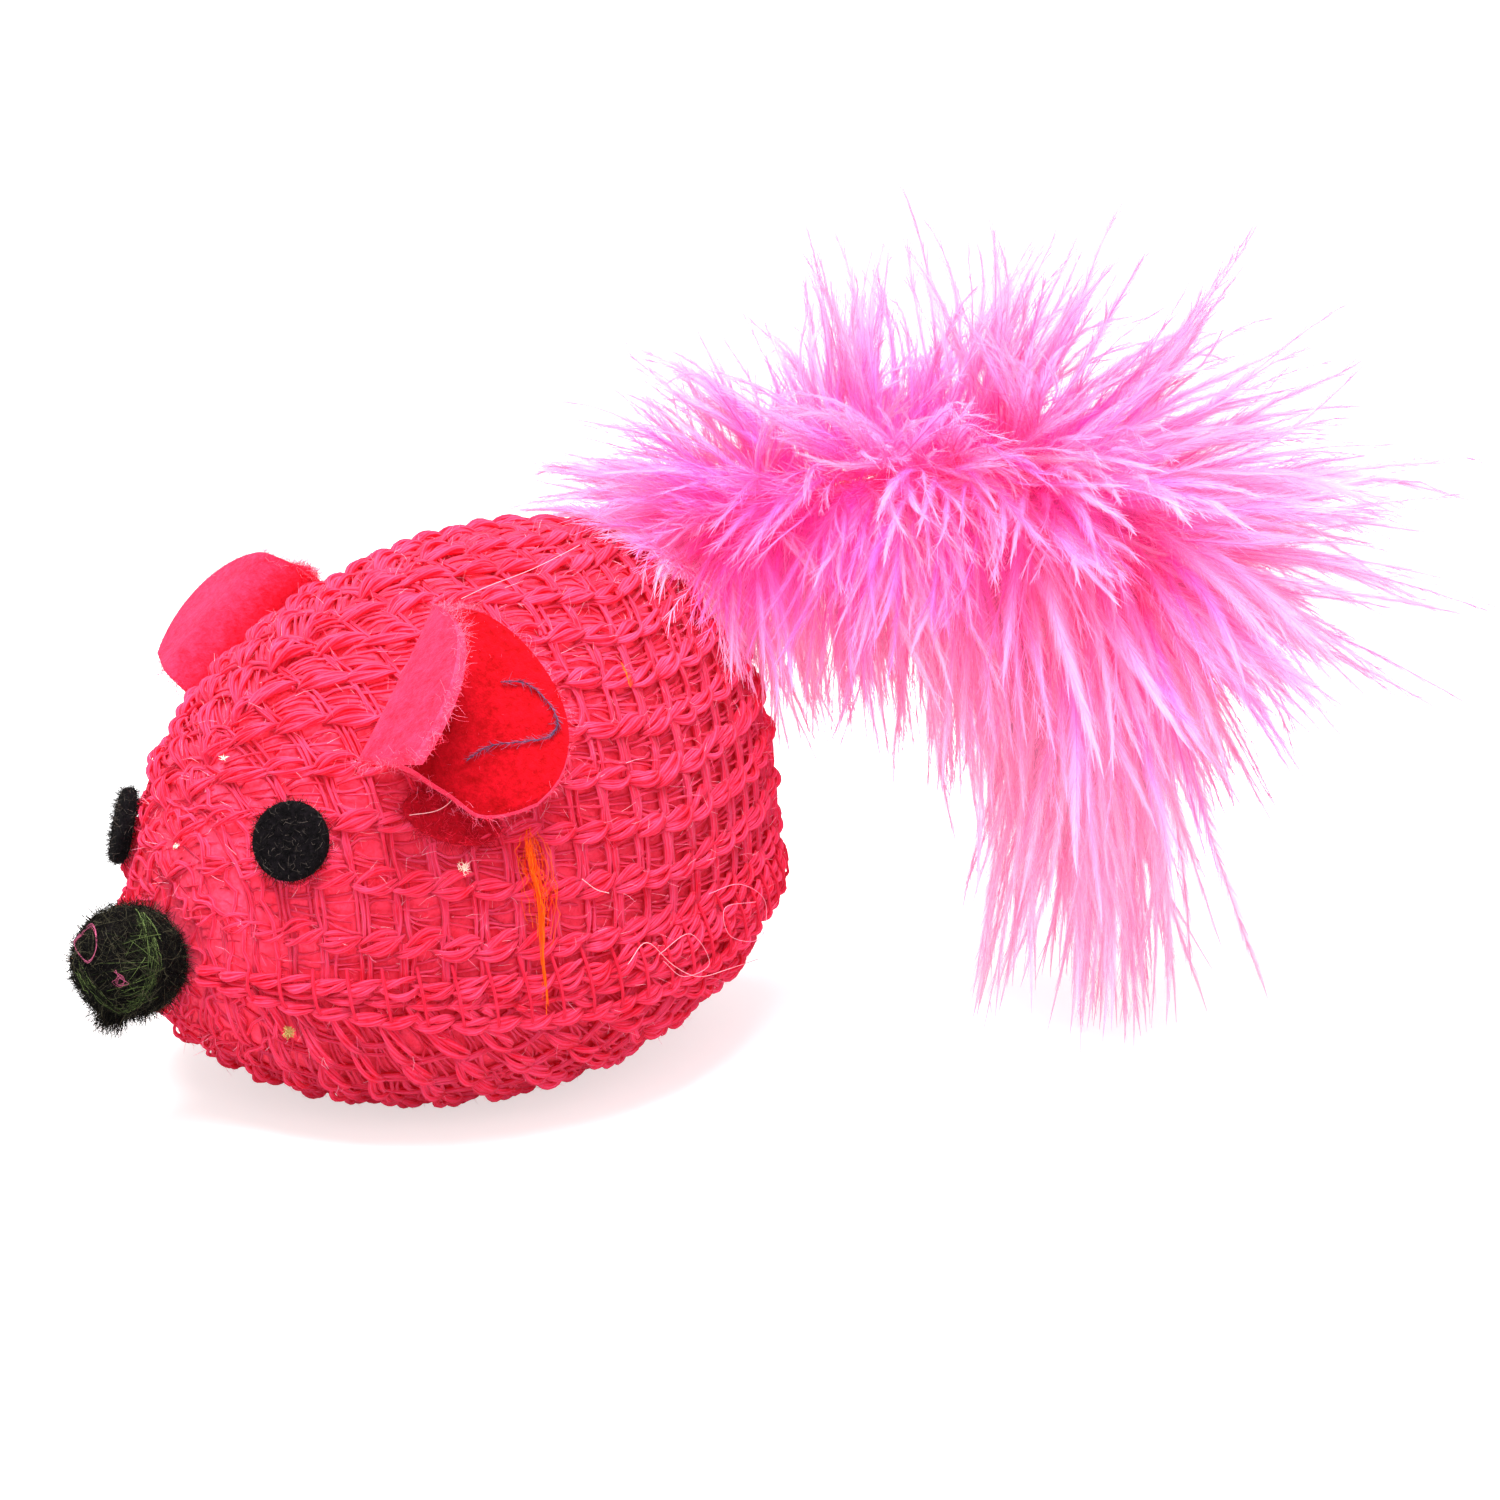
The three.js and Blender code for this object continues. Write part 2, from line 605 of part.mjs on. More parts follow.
// Least clear space between points at least half a loop apart
function leastGap(points, diameter) {
  const gaps = points.flatMap((a, i) => points.slice(i + LOOP_STEPS / 2).map((b) => a.distanceTo(b)));
  return Math.min(...gaps) - diameter;
}
const binding = bindingPoints();
const bindingGap = leastGap(binding, BINDING_THREAD_DIAMETER);
console.log(`binding thread, least gap to itself ${bindingGap.toFixed(2)} mm`);

const finish = (color, roughness) => new THREE.MeshStandardMaterial({ color, roughness, metalness: 0 });
const knitYarn = finish("#ff3764", 0.9);
const liningCloth = finish("#e03a52", 0.9);
const fibreFill = finish("#f4f1ea", 0.95);
const pouchCloth = finish("#efe9dc", 0.85);
const driedHerb = finish("#6f7a45", 0.95);
const earFelt = finish("#ff2a50", 0.95);
const eyeFelt = finish("#0c0a0f", 0.95);
const noseWool = finish("#17161b", 0.95);
const clearGlue = finish("#e9e2d0", 0.35);
const sewingThread = finish("#e62a52", 0.8);
const featherDown = finish("#ff82d2", 0.85);

const mouse = new THREE.Group();
const fit = (name, solid, material) => mouse.add(meshOf(name, solid, material));
const lift = SEAM_GAP / 2;

fit("upper_knit_cover", bodyHalf(knitHalf, 0, lift), knitYarn);
fit("belly_knit_panel", bodyHalf(knitHalf, Math.PI, -lift), knitYarn);
fit("upper_lining", bodyHalf(liningHalf, 0, lift), liningCloth);
fit("belly_lining", bodyHalf(liningHalf, Math.PI, -lift), liningCloth);
fit("upper_stuffing", bodyHalf(stuffingHalf, 0, lift), fibreFill);
fit("belly_stuffing", bodyHalf(stuffingHalf, Math.PI, -lift), fibreFill);
fit("pouch_top_sheet", pouchHalf(0, lift), pouchCloth);
fit("pouch_bottom_sheet", pouchHalf(Math.PI, -lift), pouchCloth);
fit("catnip_filling", catnipFilling(), driedHerb);
fit("belly_seam_thread", seamThread(), sewingThread);
fit("nose_pompom", nosePompom(), noseWool);
fit("nose_glue", noseGlue(), clearGlue);

const eyeBottom = LAYER_GAP + GLUE_THICKNESS + LAYER_GAP;
const eyePad = (share, turn) => padOnBody(share, turn, EYE_DIAMETER, eyeBottom, FELT_THICKNESS, EYE_SIDES);
const gluePad = (share, turn, diameter) =>
  padOnBody(share, turn, diameter, LAYER_GAP, GLUE_THICKNESS, GLUE_PAD_SIDES);
[
  { side: "left", sideTurn: (turn) => radians(turn), eye: LEFT_EYE, place: LEFT_EAR, felt: ear(LEFT_EAR) },
  {
    side: "right",
    sideTurn: (turn) => Math.PI - radians(turn),
    eye: RIGHT_EYE,
    place: RIGHT_EAR,
    felt: ear(RIGHT_EAR).mirror([1, 0, 0]),
  },
].forEach(({ side, sideTurn, eye, place, felt }) => {
  fit(`eye_${side}`, eyePad(eye.share, sideTurn(eye.turn)), eyeFelt);
  fit(`eye_${side}_glue`, gluePad(eye.share, sideTurn(eye.turn), EYE_GLUE_DIAMETER), clearGlue);
  fit(`ear_${side}`, felt, earFelt);
  const dab = earGlueSpot(place);
  fit(`ear_${side}_glue`, gluePad(dab.share, sideTurn(dab.turn), EAR_GLUE_DIAMETER), clearGlue);
});

const lowerFeather = (sector) =>
  feather(radians(sector), LOWER_START_SHARE, LOWER_BARB_LENGTH, LOWER_LENGTH_SHARES);
fit("tail_glue_bead", ball(tailRoot, beadRadius, BEAD_SIDES), clearGlue);
fit("tail_binding_thread", tube(binding, () => BINDING_THREAD_DIAMETER / 2, BINDING_SIDES), sewingThread);
fit(
  "tail_feather_upper",
  feather(radians(UPPER_SECTOR), UPPER_START_SHARE, UPPER_BARB_LENGTH, UPPER_LENGTH_SHARES),
  featherDown,
);
fit("tail_feather_near", lowerFeather(NEAR_SECTOR), featherDown);
fit("tail_feather_far", lowerFeather(FAR_SECTOR), featherDown);

export default mouse;
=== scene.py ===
"""A catnip mouse: an open knitted cover over a lined, stuffed body, felt ears and eyes, a woolly nose
and a tail of downy feathers. The sections follow the order in which such a toy is made up."""
import math

import bmesh
import bpy
import numpy as np
from mathutils import Matrix, Vector


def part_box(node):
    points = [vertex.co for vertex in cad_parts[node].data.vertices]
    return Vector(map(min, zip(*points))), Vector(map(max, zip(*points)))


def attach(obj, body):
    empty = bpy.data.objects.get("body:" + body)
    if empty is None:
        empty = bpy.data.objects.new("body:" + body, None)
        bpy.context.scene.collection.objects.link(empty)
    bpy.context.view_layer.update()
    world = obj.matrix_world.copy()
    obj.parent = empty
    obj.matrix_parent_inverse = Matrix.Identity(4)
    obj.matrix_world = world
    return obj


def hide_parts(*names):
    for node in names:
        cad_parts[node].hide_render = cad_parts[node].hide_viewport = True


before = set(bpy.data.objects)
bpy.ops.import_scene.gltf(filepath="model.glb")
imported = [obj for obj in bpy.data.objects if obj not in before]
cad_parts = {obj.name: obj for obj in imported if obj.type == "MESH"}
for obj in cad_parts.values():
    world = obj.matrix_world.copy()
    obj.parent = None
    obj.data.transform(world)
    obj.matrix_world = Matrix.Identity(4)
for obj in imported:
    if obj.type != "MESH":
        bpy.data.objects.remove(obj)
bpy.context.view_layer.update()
chance = np.random.default_rng(20)

# ---------------------------------------------------------------- the view and the table
# The mouse is seen from its front left, a little above, from some forty centimetres away.
# It lies on a plain white table in soft light.
EYE = Vector((0.329127, -0.220675, 0.139055))
RIGHT = Vector((0.61566, 0.78801, 0.0))
UP = Vector((-0.21059, 0.16453, 0.96363))
BACK = RIGHT.cross(UP)

camera = bpy.data.objects.new("view", bpy.data.cameras.new("view"))
camera.data.lens = 110.88
camera.data.sensor_width = 36
camera.data.clip_start = 0.01
camera.matrix_world = Matrix.Translation(EYE) @ Matrix((RIGHT, UP, BACK)).transposed().to_4x4()
bpy.context.scene.collection.objects.link(camera)
bpy.context.scene.camera = camera
bpy.context.scene.view_settings.view_transform = "Standard"


class Signal:
    """A value in a material's nodes that can be added, subtracted, multiplied and so on."""

    def __init__(self, tree, socket):
        self.tree = tree
        self.socket = socket

    def maths(self, operation, first, second):
        node = self.tree.nodes.new("ShaderNodeMath")
        node.operation = operation
        for slot, value in zip(node.inputs, (first, second)):
            if isinstance(value, Signal):
                self.tree.links.new(value.socket, slot)
            else:
                slot.default_value = value
        return Signal(self.tree, node.outputs[0])

    def __add__(self, other):
        return self.maths("ADD", self, other)

    def __sub__(self, other):
        return self.maths("SUBTRACT", self, other)

    def __mul__(self, other):
        return self.maths("MULTIPLY", self, other)


class Finish:
    """A material, and one way to add any node to it."""

    def __init__(self, name, world=False):
        self.block = bpy.data.worlds.new(name) if world else bpy.data.materials.new(name)
        self.block.use_nodes = True
        self.tree = self.block.node_tree
        self.shader = self.tree.nodes.get("Background" if world else "Principled BSDF")
        self.output = self.tree.nodes.get("World Output" if world else "Material Output")

    def node(self, kind, settings=(), values=()):
        made = self.tree.nodes.new(kind)
        for key, value in dict(settings).items():
            setattr(made, key, value)
        self.feed(made, dict(values))
        return made

    def feed(self, node, values):
        for key, value in values.items():
            slot = node.inputs[key]
            if isinstance(value, Signal):
                self.tree.links.new(value.socket, slot)
            else:
                slot.default_value = value

    def signal(self, node, output=0):
        return Signal(self.tree, node.outputs[output])

    def surface(self, **values):
        names = {key: key.replace("_", " ") for key in values}
        self.feed(self.shader, {names[key]: value for key, value in values.items()})

    def noise(self, scale, detail=3, roughness=0.6, vector=None):
        where = vector or self.place()
        values = {"Vector": where, "Scale": scale, "Detail": detail, "Roughness": roughness}
        return self.signal(self.node("ShaderNodeTexNoise", values=values))

    def place(self):
        return self.signal(self.node("ShaderNodeTexCoord"), "Object")

    def attribute(self, name, output):
        return self.signal(self.node("ShaderNodeAttribute", {"attribute_name": name}), output)

    def spread(self, value, low, high):
        values = {"Value": value, "From Min": low, "From Max": high}
        return self.signal(self.node("ShaderNodeMapRange", values=values))

    def colours(self, amount, first, second):
        node = self.node("ShaderNodeMix", {"data_type": "RGBA"}, {"Factor": amount})
        self.feed_colour(node.inputs[6], first)
        self.feed_colour(node.inputs[7], second)
        return self.signal(node, 2)

    def feed_colour(self, slot, value):
        if isinstance(value, Signal):
            self.tree.links.new(value.socket, slot)
        else:
            slot.default_value = value

    def let_through(self, tint, share):
        """Light that falls on the far side shows through, as it does in fibres and down."""
        veil = self.node("ShaderNodeBsdfTranslucent", values={"Color": tint})
        both = self.node("ShaderNodeMixShader", values={"Fac": share})
        self.tree.links.new(self.shader.outputs[0], both.inputs[1])
        self.tree.links.new(veil.outputs[0], both.inputs[2])
        self.tree.links.new(both.outputs[0], self.output.inputs["Surface"])

    def fade(self, cover):
        """What lies behind shows wherever the cover, from 0 to 1, is low."""
        shown = self.output.inputs["Surface"].links[0].from_socket
        gap = self.node("ShaderNodeBsdfTransparent")
        both = self.node("ShaderNodeMixShader", values={"Fac": cover})
        self.tree.links.new(gap.outputs[0], both.inputs[1])
        self.tree.links.new(shown, both.inputs[2])
        self.tree.links.new(both.outputs[0], self.output.inputs["Surface"])

    def relief(self, height, depth):
        return self.signal(self.node("ShaderNodeBump", values={"Height": height, "Distance": depth}))


def shade(red, green, blue):
    """A colour from the 0 to 255 values that it shows on a screen."""
    shown = [value / 255 for value in (red, green, blue)]
    return (*[((v + 0.055) / 1.055) ** 2.4 if v > 0.04 else v / 12.92 for v in shown], 1.0)


WHITE = (1, 1, 1, 1)
BLACK = (0, 0, 0, 1)
SKY_LIGHT = (0.7, 0.7, 0.7, 1)
TABLE_GLOW = (0.62, 0.62, 0.62, 1)
sky = Finish("daylight", world=True)
path = sky.node("ShaderNodeLightPath")
seen = sky.signal(path, "Is Camera Ray") + sky.signal(path, "Is Glossy Ray")
seen += sky.signal(path, "Is Transmission Ray")
sky.surface(Color=sky.colours(seen, SKY_LIGHT, WHITE), Strength=1.0)
bpy.context.scene.world = sky.block


def lamp(name, place, aim, size, power):
    light = bpy.data.objects.new(name, bpy.data.lights.new(name, "AREA"))
    light.data.size = size
    light.data.energy = power
    turned = (aim - place).to_track_quat("-Z", "Y").to_matrix().to_4x4()
    light.matrix_world = Matrix.Translation(place) @ turned
    bpy.context.scene.collection.objects.link(light)


middle = Vector((0.01, 0.01, 0.03))
lamp("overhead", Vector((0.06, -0.08, 0.5)), middle, 0.35, 7.2)
lamp("front_fill", Vector((0.5, -0.25, 0.3)), middle, 0.4, 1.4)

def mesh_from(bm, name):
    mesh = bpy.data.meshes.new(name)
    bm.to_mesh(mesh)
    bm.free()
    return mesh


TABLE_SIZE = 4.0
bm = bmesh.new()
bmesh.ops.create_grid(bm, x_segments=1, y_segments=1, size=TABLE_SIZE / 2)
table_mesh = mesh_from(bm, "table_top")
table = bpy.data.objects.new("table_top", table_mesh)
bpy.context.scene.collection.objects.link(table)
white_paint = Finish("white_table")
table_seen = white_paint.signal(white_paint.node("ShaderNodeLightPath"), "Is Camera Ray")
white_paint.surface(
    Base_Color=shade(196, 196, 196),
    Roughness=0.9,
    Emission_Color=white_paint.colours(table_seen, BLACK, TABLE_GLOW),
    Emission_Strength=1.0,
)
table_mesh.materials.append(white_paint.block)


# ---------------------------------------------------------------- body form and its lining
# The body is a full, egg-shaped bag: blunt at the rump, drawn in towards the nose, flat underneath.
# A plain red-pink cloth lines the knit and shows through its holes; loose fibre fills it tightly.
BODY_LENGTH = 0.0635
BODY_WIDTH = 0.050
CROWN_RISE = 0.0354
BELLY_DROP = 0.0138
SEAM_SAG = 0.0022
REST_CUT = 0.0005
REST_CENTRE_SHARE = 0.43
SIDE_SHAPE = (0.82, 0.51)
CROWN_SHAPE = (1.25, 0.306)
BELLY_SHAPE = (0.7, 0.5)
LINING_DEPTH = 0.0014
HALF_TURN = math.pi


def unit(vector):
    return vector / np.linalg.norm(vector, axis=-1, keepdims=True)


def smooth_run(places, steps):
    """A soft curve through a list of places."""
    places = np.array(places, float)
    ends = np.vstack([2 * places[0] - places[1], places, 2 * places[-1] - places[-2]])
    run = []
    for before, first, last, after in zip(ends, ends[1:], ends[2:], ends[3:]):
        for t in np.linspace(0, 1, steps, endpoint=False):
            pull = (2 * before - 5 * first + 4 * last - after) * t * t
            bend = (3 * first - before - 3 * last + after) * t ** 3
            run.append((2 * first + (last - before) * t + pull + bend) / 2)
    return np.array(run + [places[-1]])


def swell(share, shape):
    return np.clip(np.sin(math.pi * np.clip(share, 0, 1) ** shape[0]), 0, 1) ** shape[1]


def sag(share):
    return SEAM_SAG * np.sin(math.pi * share)


stations = np.linspace(0, 1, 400)
SEAM_HEIGHT = float(np.max(sag(stations) + BELLY_DROP * swell(stations, BELLY_SHAPE))) - REST_CUT


def body_points(share, turn, inset=0.0):
    """Places on the body: share runs from nose to tail, turn from the left side over the top."""
    share, turn = np.broadcast_arrays(np.asarray(share, float), np.asarray(turn, float))
    side = (BODY_WIDTH / 2 - inset) * swell(share, SIDE_SHAPE)
    rise = (CROWN_RISE - inset) * swell(share, CROWN_SHAPE)
    drop = (BELLY_DROP - inset) * swell(share, BELLY_SHAPE)
    cos, sin = np.cos(turn), np.sin(turn)
    height = np.where(sin > 0, rise * np.abs(sin) ** 0.92, -drop * np.abs(sin) ** 0.8)
    x = side * np.sign(cos) * np.abs(cos) ** 0.95
    y = (BODY_LENGTH - 2 * inset) * (share - 0.5) + BODY_LENGTH * (0.5 - REST_CENTRE_SHARE)
    z = np.maximum(SEAM_HEIGHT - sag(share) + height, 0)
    return np.stack([x, y, z], -1)


def body_outward(share, turn):
    step = 2e-3
    share = np.clip(share, 0.004, 0.996)
    turn = np.asarray(turn, float)
    rearward = body_points(share + step, turn) - body_points(share - step, turn)
    around = body_points(share, turn + step) - body_points(share, turn - step)
    out = np.cross(rearward, around)
    return out / np.maximum(np.linalg.norm(out, axis=-1, keepdims=True), 1e-12)


def on_body(share, turn, depth=0.0):
    """Places at a depth under the knit's outer surface, measured square to it."""
    share = np.clip(share, 0.001, 0.999)
    places = body_points(share, turn) - np.asarray(depth)[..., None] * body_outward(share, turn)
    places[..., 2] = np.maximum(places[..., 2], 0.0002)
    return places


def piece(name, mesh, *finishes, body="body"):
    made = bpy.data.objects.new(name, mesh)
    bpy.context.scene.collection.objects.link(made)
    for finish in finishes:
        mesh.materials.append(finish.block)
    mesh.polygons.foreach_set("use_smooth", [True] * len(mesh.polygons))
    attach(made, body)
    return made


def lining(name, start, finish):
    """One half of the lined bag: a sheet laid over the body from seam to seam, drawn together at each
    end, where all the points of its edge meet in one."""
    bm = bmesh.new()
    bmesh.ops.create_grid(bm, x_segments=72, y_segments=48, size=1)
    for vert in bm.verts:
        share = 0.5 - 0.5 * math.cos(math.pi * (vert.co.x + 1) / 2)
        turn = start + HALF_TURN * (vert.co.y + 1) / 2
        depth = LINING_DEPTH * np.interp(share, (0.02, 0.14), (0.5, 1))
        at_end = abs(vert.co.x) > 1 - 1e-6
        round_place = start + HALF_TURN * np.array([0, 0.5, 0.5, 1]) if at_end else [turn]
        vert.co = Vector(on_body(share, round_place, depth).mean(axis=0))
    bmesh.ops.remove_doubles(bm, verts=bm.verts, dist=1e-5)
    bmesh.ops.holes_fill(bm, edges=bm.edges, sides=3)
    bmesh.ops.recalc_face_normals(bm, faces=bm.faces)
    return piece(name, mesh_from(bm, name), finish)


lining_cloth = Finish("lining_cloth")
weave = lining_cloth.noise(2600, 2) * 0.5 + lining_cloth.noise(500, 3) * 0.5
lining_cloth.surface(
    Base_Color=lining_cloth.colours(
        lining_cloth.spread(weave, 0.3, 0.7), shade(232, 26, 58), shade(255, 66, 104)
    ),
    Roughness=0.95,
    Normal=lining_cloth.relief(weave, 0.0003),
)
upper_lining = lining("upper_lining_cloth", 0, lining_cloth)
belly_lining = lining("belly_lining_cloth", HALF_TURN, lining_cloth)
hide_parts("upper_lining")
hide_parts("belly_lining")


# ---------------------------------------------------------------- upper knit cover
# One piece of coarse mesh knit covers the back and sides. Its ridges run from nose to tail as chains
# of slim loops; posts and loose inner strands cross the gaps between the ridges.
STITCHES = 24
FRONT_ROW = 0.0054
REAR_ROW = 0.0043
YARN = 0.00052
PLY = 0.62
POST_YARN = 0.00027
INNER_YARN = 0.00021
NAP_HAIR = 0.000026
NOSE_GATHER = 0.012


def noted(group, shape, name, kind, source, output):
    """The same lines, with a value from the source kept on each point under a name."""
    keep = group.nodes.new("GeometryNodeStoreNamedAttribute")
    keep.data_type = kind
    keep.inputs["Name"].default_value = name
    group.links.new(shape, keep.inputs["Geometry"])
    group.links.new(group.nodes.new(source).outputs[output], keep.inputs["Value"])
    return keep.outputs[0]


def round_sweep(sides):
    """The modifier nodes that turn lines into round strands, as thick as their points ask."""
    group = bpy.data.node_groups.new(f"round_strand_{sides}", "GeometryNodeTree")
    for way in ("INPUT", "OUTPUT"):
        group.interface.new_socket("Geometry", in_out=way, socket_type="NodeSocketGeometry")
    kinds = ("NodeGroupInput", "GeometryNodeMeshToCurve", "GeometryNodeCurveToMesh", "NodeGroupOutput")
    chain = [group.nodes.new(kind) for kind in kinds]
    for first, second in zip(chain, chain[1:]):
        group.links.new(first.outputs[0], second.inputs[0])
    ring = group.nodes.new("GeometryNodeCurvePrimitiveCircle")
    ring.inputs["Resolution"].default_value = sides
    thickness = group.nodes.new("GeometryNodeInputRadius")
    kept_round = ("round", "FLOAT_VECTOR", "GeometryNodeInputPosition", "Position")
    kept_along = ("along", "FLOAT", "GeometryNodeSplineParameter", "Length")
    profile = noted(group, ring.outputs[0], *kept_round)
    rail = noted(group, chain[1].outputs[0], *kept_along)
    group.links.new(rail, chain[2].inputs["Curve"])
    group.links.new(profile, chain[2].inputs["Profile Curve"])
    group.links.new(thickness.outputs[0], chain[2].inputs["Scale"])
    chain[2].inputs["Fill Caps"].default_value = True
    return group


SWEEPS = {sides: round_sweep(sides) for sides in (3, 4, 5, 6, 8)}


def strands(name, runs, finish, body="body", sides=6):
    """Yarn, hair or down as one mesh: runs of points, each with a radius along it. A run may also
    carry a shade from 0, deep, to 1, pale, which the mesh keeps under the name "tint"."""
    counts = np.array([len(run[0]) for run in runs])
    wires = bpy.data.meshes.new(name + "_lines")
    wires.vertices.add(int(counts.sum()))
    wires.vertices.foreach_set("co", np.concatenate([run[0] for run in runs]).ravel())
    links = np.delete(np.arange(counts.sum() - 1), np.cumsum(counts)[:-1] - 1)
    wires.edges.add(len(links))
    wires.edges.foreach_set("vertices", np.column_stack([links, links + 1]).ravel())
    for k, kept in enumerate(("radius", "tint")[: len(runs[0]) - 1], 1):
        values = np.concatenate([np.broadcast_to(run[k], len(run[0])) for run in runs])
        wires.attributes.new(kept, "FLOAT", "POINT").data.foreach_set("value", values.astype(float))
    holder = bpy.data.objects.new(name + "_lines", wires)
    bpy.context.scene.collection.objects.link(holder)
    holder.modifiers.new("round", "NODES").node_group = SWEEPS[sides]
    bpy.context.view_layer.update()
    mesh = bpy.data.meshes.new_from_object(holder.evaluated_get(bpy.context.evaluated_depsgraph_get()))
    bpy.data.objects.remove(holder)
    mesh.name = name
    return piece(name, mesh, finish, body=body)


def run_lengths(places):
    """The distance along a line of places, from its start to each of them."""
    return np.concatenate([[0], np.cumsum(np.linalg.norm(np.diff(places, axis=0), axis=1))])


def even_steps(places, values):
    """Values spaced evenly by the distance along a line of places."""
    lengths = run_lengths(places)
    return lambda share: np.interp(share * lengths[-1], lengths, values)


fine_shares = np.linspace(0.004, 0.992, 300)
quarter_turns = np.linspace(0, math.pi / 2, 120)
stitch_share = even_steps(body_points(fine_shares, math.radians(38)), fine_shares)
arc_table = np.array([run_lengths(body_points(share, quarter_turns)) for share in fine_shares])
row_height = np.interp(fine_shares, (0.2, 0.6), (FRONT_ROW, REAR_ROW))
TUCK = 0.35


def upper_place(side, stitch, row, depth):
    """Places on one side of the back: rows are counted up from the seam and meet along the crown, where
    they are gathered and tucked under; past the tuck is nan."""
    share = stitch_share(np.clip(stitch / STITCHES, 0, 1))
    station = np.interp(share, fine_shares, np.arange(len(fine_shares)))
    low = np.clip(station.astype(int), 0, len(fine_shares) - 2)
    mix = (station - low)[:, None]
    arcs = arc_table[low] * (1 - mix) + arc_table[low + 1] * mix
    climb = row * np.interp(share, fine_shares, row_height)
    past = climb - arcs[:, -1]
    turn = np.array([np.interp(c, arc, quarter_turns) for c, arc in zip(climb, arcs)])
    depth = depth + 0.9 * np.clip(past, 0, None)
    places = on_body(share, turn if side > 0 else HALF_TURN - turn, depth)
    outside = (past > TUCK * REAR_ROW) | (stitch < -0.2) | (stitch > STITCHES + 0.2)
    places[outside] = np.nan
    return places


def loop_strand(side, wobble):
    """One of the two strands of a ridge loop, from under the last loop to under the next."""
    way = np.linspace(-0.16, 1.12, 10)
    bow = np.sin(math.pi * (way + 0.16) / 1.28)
    height = side * (0.11 * bow + 0.01) + (0.18 + 2 * wobble[0]) * (way - 0.5) + wobble[0] * bow
    depth = 0.00115 - (0.0009 + wobble[1]) * bow ** 0.8 + 0.00012 * side
    return way + wobble[2], height, depth, YARN * (0.34 + (0.62 + wobble[0]) * bow ** 0.9)


def two_plies(height, depth, radius, row_height):
    """The two plies of a strand, wound loosely round each other."""
    turns = chance.uniform(0, 6) + chance.uniform(1.5, 4.5) * np.linspace(0, 1, len(height))
    aside, deeper = 0.55 * radius * np.cos(turns) / row_height, 0.55 * radius * np.sin(turns)
    return [(height + way * aside, depth + way * deeper, radius * PLY) for way in (-1, 1)]


def post_strand(side, wobble):
    """A post from one ridge to the next, sunk a little behind both."""
    way = np.linspace(0.0, 1.0, 6)
    bow = np.sin(math.pi * way)
    across = 0.08 + side * (0.15 - 0.08 * bow) + 0.1 * (way - 0.5) + wobble[2] + wobble[0] * bow
    depth = 0.0009 + wobble[1] - 0.00015 * bow
    return across, way, depth, POST_YARN * (1 + 0.1 * bow)


def inner_strand(lane, wobble):
    """A loose strand across a gap, deeper than the posts, fanned out from the post behind it."""
    way = np.linspace(0.0, 1.0, 4)
    height = 0.48 + lane * (0.1 + 0.1 * way) + wobble[0] * np.sin(math.pi * way)
    across = 0.12 + 0.94 * way + wobble[2]
    depth = 0.00105 - 0.0004 * np.sin(math.pi * way) + wobble[1]
    return across, height, depth, INNER_YARN * (1 - 0.2 * way)


def inside_parts(runs):
    """What is left of runs that leave the panel: their parts inside it, two points or more."""
    kept = []
    for points, radius in runs:
        radius = np.broadcast_to(radius, len(points))
        inside = np.isfinite(points[:, 0])
        edges = np.flatnonzero(np.diff(np.concatenate([[0], inside.astype(int), [0]])))
        for first, last in zip(edges[::2], edges[1::2]):
            if last - first > 1:
                kept.append((points[first:last], radius[first:last]))
    return kept


INNER_LANES = (-1.9, -1.0, -0.1, 0.8, 1.7)


def knit_runs(place, cells, jitter, slant=0.0):
    """The strands of a panel, stitch by stitch: those of its ridges, and those across the gaps."""
    ridges, gaps = [], []
    for stitch, row in cells:
        start = stitch + slant * row

        def lay(strand, turn, amount=1.0):
            across, height, depth, radius = strand(turn, chance.normal(0, 1, 3) * jitter * amount)
            return place(start + across, row + height, depth), radius

        for side in (-1, 1):
            across, height, depth, radius = loop_strand(side, chance.normal(0, 1, 3) * jitter)
            for ply in two_plies(height, depth, radius, REAR_ROW):
                ridges.append((place(start + across, row + ply[0], ply[1]), ply[2]))
        gaps += [lay(post_strand, side) for side in (-1, 0, 1)]
        gaps += [lay(inner_strand, lane, 1.6) for lane in INNER_LANES]
    return inside_parts(ridges), inside_parts(gaps)


PLIES = 5
PLY_TWIST = 1500
FIBRE_LIE = 700


